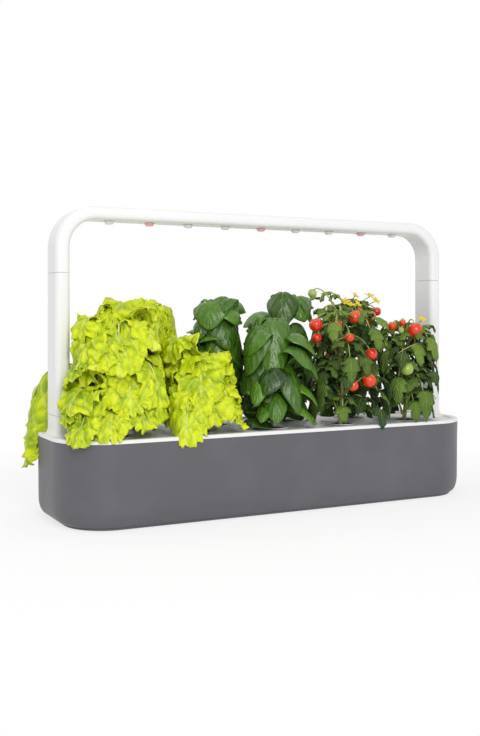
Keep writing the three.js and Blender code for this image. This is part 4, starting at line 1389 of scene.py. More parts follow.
@dataclass
class Cups:
    """The nine plant cups with their root slots, and the growing medium in them."""

    foot_share: float = 0.712
    flange_height: float = 0.0016
    wall: float = 0.0012
    drain: float = 0.005
    slots: int = 8
    slot_width: float = 0.0032
    slot_height: float = 0.024
    slot_rise: float = 0.004
    soil_sides: int = 56
    crumb: float = 0.0005
    unevenness: float = 0.01
    seed: int = 11
    finish: MouldedPlastic = MouldedPlastic("cup_plastic", (0.76, 0.755, 0.74), 0.42)
    peat: DampPeat = DampPeat("damp_peat", (0.012, 0.007, 0.004), (0.075, 0.045, 0.024), (0.3, 0.22, 0.12))

    def build(self) -> None:
        """Makes every cup and its soil."""
        plastic, peat = self.finish.material(), self.peat.material()
        pattern = self.cup(plastic)
        for number in range(1, POD_COUNT + 1):
            node = f"cup_{number}"
            cup = bpy.data.objects.new(node + "_basket", pattern.data.copy())
            cup.data.transform(Matrix.Translation(middle_of(node) - middle_of("cup_1")))
            bpy.context.scene.collection.objects.link(cup)
            add_piece(cup, f"pod_{number}", "cup_white", node)
            self.build_soil(number, peat)
        bpy.data.objects.remove(pattern)

    def cup(self, plastic: Material) -> Object:
        """Makes the first cup, which the others copy.

        Args:
            plastic: its material.

        Returns:
            The object.
        """
        low, high = span("cup_1")
        flange, middle, foot, head = radius_of("cup_1"), middle_of("cup_1"), low[2], high[2]
        body, base = flange - CUP_FLANGE, flange * self.foot_share
        under, floor = head - self.flange_height, foot + self.wall
        profile = soften([
            (self.drain, foot, 0.0003), (base, foot, 0.0012), (body, under, 0.0004), (flange, under, 0.0004),
            (flange, head, 0.0005), (body - self.wall, head, 0.0006), (base - self.wall, floor, 0.001),
            (self.drain, floor, 0.0003),
        ], closed=True)
        cup = Draft().turned(profile, middle, tube=True).piece("cup_pattern", [plastic])
        slot_foot = foot + self.slot_rise
        for k in range(self.slots // 2):
            slot = block((-flange, -self.slot_width / 2, slot_foot),
                         (flange, self.slot_width / 2, slot_foot + self.slot_height))
            slot.data.transform(Matrix.Rotation((k + 0.5) * FULL_TURN / self.slots, 4, "Z"))
            slot.data.transform(Matrix.Translation((middle[0], middle[1], 0.0)))
            carve(cup, [slot])
        return cup

    def build_soil(self, number: int, peat: Material) -> None:
        """Makes one plug of growing medium with a crumbly crown.

        Args:
            number: which pod.
            peat: its material.
        """
        node = f"soil_{number}"
        foot, head = span(node)[0][2], span(node)[1][2]
        middle, radius = middle_of(node), radius_of(node)
        chance, sides, rings = np.random.default_rng(self.seed + number), self.soil_sides, []
        angle = FULL_TURN * np.arange(sides) / sides
        levels = [(0.78, foot), (1.0, head - 0.0022)]
        levels += [(share, head - 0.0012) for share in (0.97, 0.88, 0.76, 0.64, 0.52, 0.4, 0.3)]
        levels += [(0.2, head - 0.002), (0.18, head - 0.0065)]
        for row, (share, z) in enumerate(levels):
            lumps = chance.normal(0.0, self.crumb, sides) if row > 1 else np.zeros(sides)
            reach = radius * share * (1 + chance.normal(0.0, self.unevenness, sides) * (row > 1))
            x, y = middle[0] + reach * np.cos(angle), middle[1] + reach * np.sin(angle)
            rings.append(np.column_stack([x, y, np.minimum(z + lumps, head)]))
        piece = Draft().loft(rings).piece(f"soil_{number}_plug", [peat], sharp=80.0, even=False)
        add_piece(piece, f"pod_{number}", "growing_medium", node)


@dataclass(frozen=True)
class Course:
    """The line that a leaf follows from its stem, over its crest, to its tip. Heights are above the deck.

    Args:
        heading: where it points, in degrees round the stem from +X.
        reach: how far its tip is from the stem.
        crest: the height of its highest stretch.
        tip: the height of its tip.
        width: the greatest width of its blade.
        root: the height where it leaves the stem.
        crest_share: how far out its crest lies, as a share of its reach.
        roll: how far the blade turns about its line towards its tip, in degrees.
        tint: from 0, deep and old, to 1, bright and young.
    """

    heading: float
    reach: float
    crest: float
    tip: float
    width: float
    root: float = 0.008
    crest_share: float = 0.55
    roll: float = 0.0
    tint: float = 0.5


@dataclass(frozen=True)
class Berry:
    """One fruit of a truss, placed from the stem's foot, with its height above the deck."""

    x: float
    y: float
    z: float
    radius: float
    is_ripe: bool = True


@dataclass(frozen=True)
class Room:
    """The space that one plant's leaves may fill before they meet a neighbour, a leg or the edge."""

    stem: np.ndarray
    walls: tuple[Wall, ...]
    floor: float
    edge: tuple[float, float, float]
    grazing: float = 0.02
    power: float = 7.0
    overhang: float = 0.0017
    drape: float = 0.011
    softness: float = 0.0015

    def reach(self, heading_x: np.ndarray | float, heading_y: np.ndarray | float) -> np.ndarray:
        """How far the nearest wall is from the stem.

        Args:
            heading_x: the X share of each unit direction.
            heading_y: the Y share of each unit direction.

        Returns:
            The distance to the wall along each direction.
        """
        limit = np.full(np.shape(heading_x), 1.0)
        for x, y, distance in self.walls:
            facing = heading_x * x + heading_y * y
            nearer = np.minimum(limit, distance / np.maximum(facing, self.grazing))
            limit = np.where(facing > self.grazing, nearer, limit)
        return limit

    def press(self, points: np.ndarray) -> np.ndarray:
        """Draws points in so that none passes a wall or dips into the lid.

        Args:
            points: the points, in any grid.

        Returns:
            The pressed points.
        """
        flat = points[..., :2] - self.stem
        radius = np.maximum(np.hypot(flat[..., 0], flat[..., 1]), 1e-9)
        limit = self.reach(flat[..., 0] / radius, flat[..., 1] / radius)
        squeeze = (1 + (radius / limit) ** self.power) ** (-1 / self.power)
        found = points.copy()
        found[..., :2] = self.stem + flat * squeeze[..., None]
        half_x, half_y, corner = self.edge
        past_x = np.maximum(np.abs(found[..., 0]) - (half_x - corner), 0.0)
        past_y = np.maximum(np.abs(found[..., 1]) - (half_y - corner), 0.0)
        past = np.maximum(np.hypot(past_x, past_y), 1e-9)
        outside = past - corner - self.overhang
        hangs = (found[..., 2] < self.floor) & (outside > -self.drape)
        push = np.where(hangs, np.maximum(-outside, 0.0), 0.0) / past
        found[..., 0] += np.sign(found[..., 0]) * past_x * push
        found[..., 1] += np.sign(found[..., 1]) * past_y * push
        above = (found[..., 2] - self.floor) / self.softness
        rested = self.floor + self.softness * np.logaddexp(0.0, above)
        found[..., 2] = np.where(hangs, found[..., 2], rested)
        return found


@dataclass
class Rooms:
    """Works out the room of each pod from where the cups, the legs and the tank's edge lie."""

    tank: Tank
    leg: LegSection
    lid_top: float
    foliage_rise: float = 0.0012
    row_reach: float = 0.064
    left_reach: float = 0.088
    right_reach: float = 0.044
    right_turn: float = 27.0
    trailing_reach: float = 0.172
    filler_reach: float = 0.060
    trailing_turn: float = 23.0
    leg_wall_angle: float = 51.5
    flare_width: float = 0.006
    gap: float = 0.0008

    def stem(self, index: int) -> np.ndarray:
        """Where the stem of a pod stands."""
        return middle_of(f"cup_{index + 1}")[:2]

    def between(self, index: int, other: int) -> Wall:
        """Finds the wall halfway between two neighbouring plants.

        Args:
            index: the plant that it belongs to, counted from 0.
            other: its neighbour.

        Returns:
            The wall's outward direction and its distance from the first plant's stem.
        """
        across = self.stem(other) - self.stem(index)
        turn = math.radians(self.trailing_turn) if min(index, other) == 0 else 0.0
        x = across[0] * math.cos(turn) - across[1] * math.sin(turn)
        y = across[0] * math.sin(turn) + across[1] * math.cos(turn)
        outward = np.array([x, y]) / np.linalg.norm(across)
        return (*outward, float(across.dot(outward)) / 2 - self.gap)

    def at_leg(self, index: int) -> Wall:
        """Finds the slanted wall that keeps an end plant off the nearest leg's flared foot.

        Args:
            index: the plant that it belongs to, counted from 0.

        Returns:
            The wall's outward direction and its distance from the plant's stem.
        """
        side = 1 if index else -1
        angle = math.radians(self.leg_wall_angle)
        outward = np.array([side * math.cos(angle), math.sin(angle)])
        leg = self.leg
        corner = np.array([side * (abs(leg.centre(side)) - leg.thickness / 2 + leg.corner),
                           -(leg.depth / 2 - leg.corner)]) - self.stem(index)
        return (*outward, float(corner.dot(outward)) - leg.corner - self.flare_width - self.gap)

    def room(self, index: int) -> Room:
        """Gathers the walls of one pod's room.

        Args:
            index: the pod's number from the left, counted from 0.

        Returns:
            The room.
        """
        last, stem = POD_COUNT - 1, self.stem(index)
        walls: list[Wall] = [(0.0, math.copysign(1.0, stem[1]), self.row_reach)]
        walls += [self.between(index, other) for other in (index - 1, index + 1) if 0 <= other <= last]
        for side in (-1, 1):
            if 0 <= index + 2 * side <= last:
                mate = abs(self.stem(index + side)[0] - stem[0])
                walls.append((side, 0.0, mate - self.gap))
        if index in (0, last):
            end = (1.0, 0.0, self.right_reach) if index else (-1.0, 0.0, self.left_reach)
            walls += [end, self.at_leg(index)]
        if index == 1:
            walls.append((-1.0, 0.0, self.trailing_reach))
        if index == last:
            turn = math.radians(self.right_turn)
            walls.append((math.cos(turn), -math.sin(turn), self.right_reach))
        if index == last - 1:
            walls.append((1.0, 0.0, self.filler_reach))
        edge = (self.tank.half_x, self.tank.half_y, self.tank.corner)
        return Room(stem, tuple(walls), self.lid_top + self.foliage_rise, edge)


class Ripple:
    """A smooth random swell over a sheet, as a sum of waves."""

    def __init__(self, chance: np.random.Generator, wavelength: float, waves: int = 7) -> None:
        """Chooses the waves.

        Args:
            chance: the source of random numbers.
            wavelength: the typical distance between crests.
            waves: how many waves are added up.
        """
        turn = chance.uniform(0, FULL_TURN, waves)
        number = FULL_TURN / (wavelength * chance.uniform(0.7, 1.6, waves))
        self.along, self.across = number * np.cos(turn), number * np.sin(turn)
        self.phase = chance.uniform(0, FULL_TURN, waves)

    def __call__(self, first: np.ndarray, second: np.ndarray) -> np.ndarray:
        """The swell at each place, about -1 to 1."""
        total = sum(np.sin(a * first + b * second + phase)
                    for a, b, phase in zip(self.along, self.across, self.phase))
        return total / math.sqrt(len(self.phase))


class Midrib:
    """A leaf's centre line: a curve from its root through its crest to its tip."""

    steps = 64

    def __init__(self, root: np.ndarray, crest: np.ndarray, tip: np.ndarray, heading: float,
                 roll: float = 0.0) -> None:
        """Draws the curve.

        Args:
            root: where the leaf leaves its stem.
            crest: a point halfway along it.
            tip: its tip.
            heading: where it points, in degrees from +X.
            roll: how far the blade turns about it towards the tip, in degrees.
        """
        turn = shares(self.steps)[:, None]
        control = 2 * crest - (root + tip) / 2
        self.curve = (1 - turn) ** 2 * root + 2 * turn * (1 - turn) * control + turn**2 * tip
        steps = np.linalg.norm(np.diff(self.curve, axis=0), axis=1)
        self.length = float(steps.sum())
        self.travelled = np.concatenate([[0.0], np.cumsum(steps)]) / self.length
        angle = math.radians(heading)
        self.side = np.array([-math.sin(angle), math.cos(angle), 0.0])
        self.roll = math.radians(roll)

    def lay(self, along: np.ndarray, across: np.ndarray, lift: np.ndarray | float) -> np.ndarray:
        """Places points of a flat leaf on the curve.

        Args:
            along: shares of its length, which may pass 0 or 1.
            across: distances from the midrib.
            lift: distances out of the blade.

        Returns:
            The points.
        """
        inside = np.clip(along, 0.0, 1.0)
        centre = np.stack([np.interp(inside, self.travelled, self.curve[:, k]) for k in range(3)], axis=-1)
        slope = np.gradient(self.curve, axis=0)
        tangent = np.stack([np.interp(inside, self.travelled, slope[:, k]) for k in range(3)], axis=-1)
        tangent /= np.linalg.norm(tangent, axis=-1)[..., None]
        centre = centre + tangent * ((along - inside) * self.length)[..., None]
        normal = np.cross(tangent, self.side)
        normal /= np.linalg.norm(normal, axis=-1)[..., None]
        turn = (self.roll * inside)[..., None]
        side = self.side * np.cos(turn) + normal * np.sin(turn)
        normal = normal * np.cos(turn) - self.side * np.sin(turn)
        lift = np.broadcast_to(lift, np.shape(along))
        return centre + side * across[..., None] + normal * lift[..., None]


@dataclass
class Plant:
    """A plant in one pod. Each kind draws its own leaves, stems and fruit into one mesh.

    Args:
        name: its node.
        number: its pod, from the left.
        room: the space that it may fill.
        deck: the height of the lid's deck.
        courses: its leaves that show most.
        fill: how many leaves fill it out behind them.
        height: the height of its top above the deck.
        seed: the seed of its random numbers.
    """

    name: str
    number: int
    room: Room
    deck: float
    courses: Sequence[Course]
    fill: int
    height: float
    seed: int = 1
    berries: Sequence[Berry] = ()
    flowers: Sequence[Point] = ()
    leaning: float = 15.0
    draft: Draft = field(default_factory=Draft)
    slot: str = ""

    def __post_init__(self) -> None:
        """Seeds the plant's own random numbers."""
        self.chance = np.random.default_rng(self.seed)

    def finishes(self) -> list[Material]:
        """The materials of its mesh, in the order that its faces number them."""
        raise NotImplementedError

    def leaf(self, course: Course) -> None:
        """Draws one leaf."""
        raise NotImplementedError

    def filler(self, index: int) -> Course:
        """Plans the course of one of the leaves that fill the plant out."""
        raise NotImplementedError

    def extras(self) -> None:
        """Draws its stem and all that isn't a leaf."""

    def at(self, x: float, y: float, height: float) -> np.ndarray:
        """A point given from the stem's foot and the deck."""
        return np.array([self.room.stem[0] + x, self.room.stem[1] + y, self.deck + height])

    def towards(self, heading: float, reach: float, height: float) -> np.ndarray:
        """A point at a heading, in degrees, and a distance from the stem."""
        angle = math.radians(heading)
        return self.at(reach * math.cos(angle), reach * math.sin(angle), height)

    def lean(self, heading: float) -> float:
        """A heading turned a little towards the row's ends, where the plant meets its neighbours."""
        return heading - self.leaning * math.sin(2 * math.radians(heading))

    def spread(self, heading: float) -> float:
        """How far the plant may reach at a heading, in degrees."""
        angle = math.radians(heading)
        return float(self.room.reach(math.cos(angle), math.sin(angle)))

    def midrib(self, course: Course, start: float = 0.003) -> Midrib:
        """The centre line of a leaf with a course of its own.

        Args:
            course: the leaf's course.
            start: how far from the stem's axis it begins.

        Returns:
            The line.
        """
        root = self.towards(course.heading, start, course.root)
        crest = self.towards(course.heading, course.reach * course.crest_share, course.crest)
        tip = self.towards(course.heading, course.reach, course.tip)
        return Midrib(root, crest, tip, course.heading, course.roll)

    def build(self) -> None:
        """Draws the whole plant and gives it to its pod."""
        for course in [*self.courses, *(self.filler(index) for index in range(self.fill))]:
            self.leaf(course)
        self.extras()
        piece = self.draft.piece(self.name + "_foliage", self.finishes(), 180.0, even=False, merged=True)
        add_piece(piece, f"pod_{self.number}", self.slot, self.name)


@dataclass
class Lettuce(Plant):
    """A loose-leaf lettuce: crumpled fans with frilled, ragged margins on pale, fleshy ribs."""

    slot: str = "lettuce_leaf"
    thickness: float = 0.0005
    fan_front: float = 1.12
    fan_turn: float = 171.0
    fan_back: float = 0.03
    squareness: float = 2.35
    rings: int = 13
    spokes: int = 108
    fold: float = 0.0042
    frill: float = 0.0034
    crimp: float = 0.0017
    sway: float = 0.0020
    blister: float = 0.0023
    blister_wave: float = 0.019
    pucker: float = 0.0011
    pucker_wave: float = 0.0095
    swell: float = 0.0035
    swell_wave: float = 0.055
    ragged: float = 0.016
    opening_turn: float = 60.0
    opening_half: float = 0.032
    rib_radius: float = 0.0036
    rib_share: float = 0.82
    rib_steps: int = 20
    slope: float = 0.0
    slope_turn: float = 40.0
    heart: int = 5
    heart_slope: float = 0.45
    longest: float = 0.095

    def finishes(self) -> list[Material]:
        """The upper skin, the paler underside and the rib."""
        return [
            LeafSkin("lettuce_upper", (0.16, 0.31, 0.003), (0.69, 0.80, 0.010), (0.78, 0.87, 0.24), 0.38, 6.0,
                     2.2, 0.0010, 0.36, 0.28, 0.0022, 0.06).material(),
            LeafSkin("lettuce_under", (0.28, 0.42, 0.008), (0.70, 0.80, 0.04), (0.76, 0.86, 0.20), 0.5, 6.0,
                     2.2, 0.0012, 0.40, 0.2, 0.0022, 0.06).material(),
            StemSkin("lettuce_rib", (0.60, 0.72, 0.16), (0.72, 0.80, 0.34), 0.38).material(),
        ]

    def leaf(self, course: Course) -> None:
        """Draws one fan with folds, frills and crimps that grow towards its ragged margin.

        Args:
            course: the line that it follows.
        """
        line = self.midrib(course, 0.005)
        length, half = line.length, course.width / 2
        turn = np.radians(self.fan_turn) * (2 * shares(self.spokes) - 1)
        ring = shares(self.rings)[:, None]
        front = min(self.fan_front * half, 0.7 * length)
        middle = 1 - front / length
        ahead = np.where(np.cos(turn) > 0, front, (middle - self.fan_back) * length)
        power = self.squareness
        edge = (np.abs(np.cos(turn) / ahead) ** power + np.abs(np.sin(turn) / half) ** power) ** (-1 / power)
        start, drift, later = self.chance.uniform(0, FULL_TURN, 3)
        teeth = self.chance.uniform(-1, 1, self.spokes + 1)
        scallops = np.abs(np.sin(self.chance.uniform(10, 13) * turn + later))
        lobes = 1 + 0.03 * np.sin(5 * turn + start) + (0.07 * scallops - 0.04) * ring**3
        distance = ring * edge * (lobes + self.ragged * teeth * ring**5)
        along = middle + distance * np.cos(turn) / length
        across = distance * np.sin(turn)
        opening = np.clip(np.degrees(np.pi - np.abs(turn)) / self.opening_turn, 0.0, 1.0)
        opening = opening * min(1.0, half / self.opening_half)
        bent = turn + 0.16 * np.sin(3 * turn + drift)
        folds = np.sin(self.chance.uniform(5, 7) * bent + start)
        frills = np.sin(self.chance.uniform(13, 17) * bent + drift)
        crimps = np.sin(self.chance.uniform(30, 36) * bent + later)
        lift = opening * (self.fold * ring**2.2 * folds + self.frill * ring**3.2 * frills
                          + self.crimp * ring**5 * crimps)
        sway = opening * self.sway * ring**3
        across = across + sway * np.cos(15 * bent + drift)
        along = along + sway * np.cos(15 * bent + later) / length
        blisters = np.abs(Ripple(self.chance, self.blister_wave)(along * length, across))
        puckers = np.abs(Ripple(self.chance, self.pucker_wave)(along * length, across))
        lift = lift + (self.blister * blisters + self.pucker * puckers) * np.clip(ring * 2.5, 0, 1)
        lift = lift + self.swell * Ripple(self.chance, self.swell_wave, 5)(along * length, across) * ring
        share = np.abs(across) / half
        cup = 0.26 * (1 - along) - 0.12
        lift = lift + cup * half * share**2 + 0.0015 * np.clip(share * 5, 0, 1)
        grid = self.room.press(line.lay(along, across, lift))
        # Painted shade: the tint follows the blisters, puckers and folds, so raised parts are painted
        # brighter and hollows darker.
        relief = 0.34 * (blisters - 0.6) + 0.2 * (puckers - 0.6)
        tint = np.clip(course.tint + 0.22 * ring**2 + relief + 0.1 * folds * ring, 0.0, 1.0)
        self.draft.blade(grid, self.thickness, marks_of(across / half, along, tint, along.shape))
        self.rib(line, course.tint)

    def rib(self, line: Midrib, tint: float) -> None:
        """Draws the fleshy rib under a blade.

        Args:
            line: the blade's centre line.
            tint: from deep to bright.
        """
        steps = shares(self.rib_steps)
        path = self.room.press(line.lay(steps * self.rib_share, np.zeros_like(steps), -0.0012 * (1 - steps)))
        self.draft.stalk(path, self.rib_radius * (1 - steps) ** 0.8 + 0.0004, finish=Skin.STEM, tint=tint)

    def extras(self) -> None:
        """Draws the upright young leaves of its heart."""
        for k in range(self.heart):
            top = self.height * self.chance.uniform(0.84, 0.95) * (1 - self.heart_slope * self.slope)
            self.leaf(Course(k * 360 / self.heart + 20, 0.018, top, top - 0.004, 0.046, 0.012, 0.7, tint=0.7))

    def filler(self, index: int) -> Course:
        """One of the leaves that climb from spreading outer ones to upright inner ones.

        Args:
            index: its number, counted from 0.

        Returns:
            Its course.
        """
        share = index / max(self.fill - 1, 1)
        heading = self.lean(31.0 * self.number + index * GOLDEN_ANGLE)
        crest = self.height * (0.22 + 0.70 * share**0.9) * self.chance.uniform(0.93, 1.04)
        crest *= 1 - self.slope * (0.5 + 0.5 * math.cos(math.radians(heading + self.slope_turn)))
        reach = min(self.spread(heading), self.longest) * (1.04 - 0.42 * share)
        return Course(heading, reach, crest, crest * (0.40 + 0.52 * share), self.chance.uniform(0.066, 0.086),
                      0.004 + 0.010 * share, 0.60 - 0.08 * share, self.chance.uniform(-20, 20),
                      0.30 + 0.34 * share)


@dataclass
class Basil(Plant):
    """A sweet basil: glossy, spoon-backed leaves in pairs that turn by a quarter at each joint."""

    slot: str = "basil_leaf"
    thickness: float = 0.0005
    rows: int = 18
    columns: int = 14
    petiole_share: float = 0.2
    spoon: tuple[float, float] = (0.38, 0.62)
    full_bow: float = 0.02
    quilt: float = 0.0008
    wave: float = 0.0016
    stem_radius: float = 0.0026
    stem_taper: float = 0.0014
    longest: float = 0.068
    tuft: int = 6

    def finishes(self) -> list[Material]:
        """The upper skin, the underside and the stem."""
        return [
            LeafSkin("basil_upper", (0.006, 0.028, 0.004), (0.10, 0.245, 0.012), (0.15, 0.32, 0.05), 0.24,
                     5.0, 2.4, 0.0005, 0.28, 0.5, 0.0009).material(),
            LeafSkin("basil_under", (0.045, 0.12, 0.022), (0.16, 0.30, 0.06), (0.22, 0.36, 0.11), 0.5, 6.0,
                     2.8, 0.0009, vein_share=0.5, shine=0.2).material(),
            StemSkin("basil_stem", (0.16, 0.30, 0.06), (0.24, 0.34, 0.12)).material(),
        ]

    def leaf(self, course: Course) -> None:
        """Draws one leaf: a stalk and a quilted blade whose sides and tip turn down.

        Args:
            course: the line that it follows.
        """
        line, bow = self.midrib(course), course.width / 2
        place = shares(self.rows)[:, None]
        along = place * (1 - self.petiole_share) + self.petiole_share
        side = (2 * shares(self.columns) - 1)[None, :]
        outline = np.sin(np.pi * place**0.80) ** 0.60 * (1 - 0.10 * place**6)
        outline[0], outline[-1] = 0.02, 0.03
        across = side * (bow * outline)
        spoon = self.chance.uniform(*self.spoon)
        lift = -spoon * bow * side**2 * outline - 0.0010 * (1 - np.minimum(np.abs(side) * 8, 1))
        phase = place * 5.0 - np.abs(side) * 1.2
        quilt = np.abs(np.sin(np.pi * phase)) ** 0.7 * (1 - side**2) * outline
        lift = lift + self.quilt * quilt * min(1.0, bow / self.full_bow)
        lift = lift + self.wave * np.sin(9 * place + self.chance.uniform(0, 6)) * side**3
        grid = self.room.press(line.lay(np.broadcast_to(along, across.shape), across, lift))
        tint = np.full(across.shape, course.tint) + 0.08 * (1 - outline)
        self.draft.blade(grid, self.thickness, marks_of(side, place, tint, across.shape))
        steps = shares(14)
        path = self.room.press(line.lay(steps * 0.9, np.zeros_like(steps), -0.0014 - 0.0004 * (1 - steps)))
        self.draft.stalk(path, 0.0012 * (1 - steps) + 0.0003, 7, Skin.STEM, course.tint)

    def filler(self, index: int) -> Course:
        """A leaf of one of the pairs up the stem.

        Args:
            index: its number, counted from 0.

        Returns:
            Its course.
        """
        pair, twin = divmod(index, 2)
        share = pair / max(self.fill // 2 - 1, 1)
        heading = 37.0 * self.number + 90 * (pair % 2) + 45 * (pair // 2) + 180 * twin
        heading = self.lean(heading + self.chance.uniform(-28, 28))
        root = self.height * (0.04 + 0.82 * share)
        reach = min(self.spread(heading), self.longest) * self.chance.uniform(0.84, 1.06)
        reach *= 1 - 0.12 * share**3
        crest = min(root + self.chance.uniform(0.004, 0.040), self.height)
        droop = self.chance.uniform(0.004, 0.062) * (1.1 - 0.5 * share)
        width = self.chance.uniform(0.050, 0.068) - 0.006 * share
        tint = self.chance.uniform(0.04, 0.50) + 0.26 * share**3
        # Painted shade: every third leaf is shorter and narrower and is darkened, as shade inside the plant.
        if index % 3 == 2:
            reach, width, tint = reach * 0.6, width * 0.7, tint * 0.2
        return Course(heading, reach, crest, max(crest - droop, 0.006), width, root, 0.58,
                      self.chance.uniform(-45, 45), tint)

    def extras(self) -> None:
        """Draws the main stem and the tuft of young leaves at its top."""
        steps = shares(12)
        path = np.array([self.at(0.0015 * math.sin(5 * step), 0.0015 * math.cos(4 * step),
                                 -0.006 + step * self.height * 0.97) for step in steps])
        self.draft.stalk(path, self.stem_radius - self.stem_taper * steps, finish=Skin.STEM)
        top = self.height
        for k in range(self.tuft):
            self.leaf(Course(60 * k + 20, 0.012 + 0.004 * (k % 3), top + 0.004, top - 0.002 * (k % 2),
                             0.011 + 0.003 * (k % 2), top - 0.012, 0.6, tint=0.85))


@dataclass
class Tomato(Plant):
    """A dwarf cherry tomato: dull, drooping leaves of lobed leaflets, trusses of fruit and yellow stars."""

    slot: str = "tomato_leaf"
    thickness: float = 0.0005
    rows: int = 20
    columns: int = 6
    lobes: float = 3.0
    stalk_share: float = 0.74
    stalk_steps: int = 16
    quilt: float = 0.0013
    wave: float = 0.0022
    longest: float = 0.085
    stem_radius: float = 0.0032
    stem_taper: float = 0.0018
    shoots: int = 9
    shoot_reach: float = 0.070
    fruit_rings: int = 16
    fruit_sides: int = 24
    fruit_stalk: float = 0.0009
    petal_length: float = 0.0085
    petal_width: float = 0.0042
    petal_rise: float = 0.25
    petal_thickness: float = 0.0004
    flower_stalk: float = 0.0007

    def finishes(self) -> list[Material]:
        """The skins of leaves, stems, ripe and green fruit, and petals."""
        return [
            LeafSkin("tomato_upper", (0.018, 0.052, 0.014), (0.21, 0.33, 0.045), (0.24, 0.34, 0.08), 0.5, 5.0,
                     2.4, 0.0012, vein_share=0.5, shine=0.2, crinkle=0.0008).material(),
            LeafSkin("tomato_under", (0.06, 0.12, 0.045), (0.18, 0.29, 0.10), (0.24, 0.34, 0.15), 0.6, 5.0,
                     2.4, 0.0011, shine=0.15).material(),
            StemSkin("tomato_stem", (0.34, 0.44, 0.09), (0.46, 0.52, 0.17), 0.6).material(),
            FruitSkin("tomato_ripe", (0.76, 0.026, 0.004), (0.82, 0.09, 0.008), (0.9, 0.3, 0.10)).material(),
            FruitSkin("tomato_green", (0.30, 0.42, 0.07), (0.42, 0.52, 0.14), (0.6, 0.66, 0.3)).material(),
            Petal("tomato_petal", (0.86, 0.66, 0.03), (0.75, 0.5, 0.02)).material(),
        ]

    def leaflet(self, root: np.ndarray, heading: float, length: float, width: float, drop: float,
                tint: float) -> None:
        """Draws one lobed leaflet.

        Args:
            root: where it begins.
            heading: where it points, in degrees.
            length: its length.
            width: its greatest width.
            drop: how far its tip hangs below its root, as a share of its length.
            tint: from deep to bright.
        """
        angle = math.radians(heading)
        ahead = np.array([math.cos(angle), math.sin(angle), 0.0])
        flat = math.sqrt(max(1 - drop**2, 0.15))
        tip = root + ahead * length * flat - UP * length * drop
        crest = root + ahead * length * flat * 0.55 + UP * length * (0.14 - 0.4 * drop)
        line = Midrib(root, crest, tip, heading, self.chance.uniform(-25, 25))
        place = shares(self.rows)[:, None]
        side = (2 * shares(self.columns) - 1)[None, :]
        beat = np.mod(place * self.lobes + 0.15, 1.0)
        swelling, notch = np.clip(beat / 0.72, 0, 1) ** 1.6, np.clip((beat - 0.76) / 0.24, 0, 1)
        lobes = 1 - 0.34 * (1 - swelling) - 0.66 * notch
        outline = np.sin(np.pi * place**0.72) ** 0.8 * (0.12 + 0.88 * lobes)
        outline[0], outline[-1] = 0.03, 0.02
        across = side * width / 2 * outline
        forward = 0.10 * side**2 * outline * (1 - place)
        lift = width / 2 * (-0.30 * side**2 * outline) - 0.0008 * (1 - np.minimum(np.abs(side) * 6, 1))
        quilt = np.abs(np.sin(np.pi * (place * 5 - np.abs(side) * 1.2))) * (1 - side**2)
        lift = lift + self.quilt * quilt
        lift = lift + self.wave * np.sin(11 * place + self.chance.uniform(0, 6)) * side**3
        along = np.broadcast_to(place + forward, across.shape)
        grid = self.room.press(line.lay(along, across, lift))
        self.draft.blade(grid, self.thickness, marks_of(side, place, tint, across.shape))

    def leaf(self, course: Course) -> None:
        """Draws a compound leaf: a curved stalk with side leaflets in pairs and one at its end.

        Args:
            course: the line that it follows.
        """
        line, steps = self.midrib(course), shares(self.stalk_steps)
        path = self.room.press(line.lay(steps * self.stalk_share, np.zeros_like(steps), 0.0))
        self.draft.stalk(path, 0.0014 * (1 - steps) + 0.0006, 7, Skin.STEM, course.tint)
        width, length = course.width * 0.72, course.width * 1.05
        for share, size in ((0.34, 0.62), (0.52, 0.85)):
            root = path[round(share / self.stalk_share * self.stalk_steps)]
            for sign in (-1, 1):
                turn = course.heading + sign * self.chance.uniform(52, 74)
                self.leaflet(root, turn, length * size * 0.8, width * size * 0.8,
                             self.chance.uniform(0.25, 0.65), course.tint + self.chance.uniform(-0.12, 0.12))
        drop = min(max((course.crest - course.tip) / max(course.reach, 0.01), 0.1), 0.9)
        self.leaflet(path[-1], course.heading, length, width, drop, course.tint)

    def filler(self, index: int) -> Course:
        """One of the compound leaves that climb the stem by the golden angle.

        Args:
            index: its number, counted from 0.

        Returns:
            Its course.
        """
        share = index / max(self.fill - 1, 1)
        heading = self.lean(53.0 * self.number + index * GOLDEN_ANGLE)
        root = self.height * (0.05 + 0.83 * share)
        reach = min(self.spread(heading), self.longest) * self.chance.uniform(0.80, 1.02)
        reach *= 1 - 0.25 * share**2
        crest = min(root + self.chance.uniform(0.014, 0.034), self.height)
        tip = max(crest - self.chance.uniform(0.020, 0.050), 0.006)
        return Course(heading, reach, crest, tip, 0.050 - 0.014 * share, root, 0.5,
                      tint=self.chance.uniform(0.02, 0.42) + 0.38 * share**2)

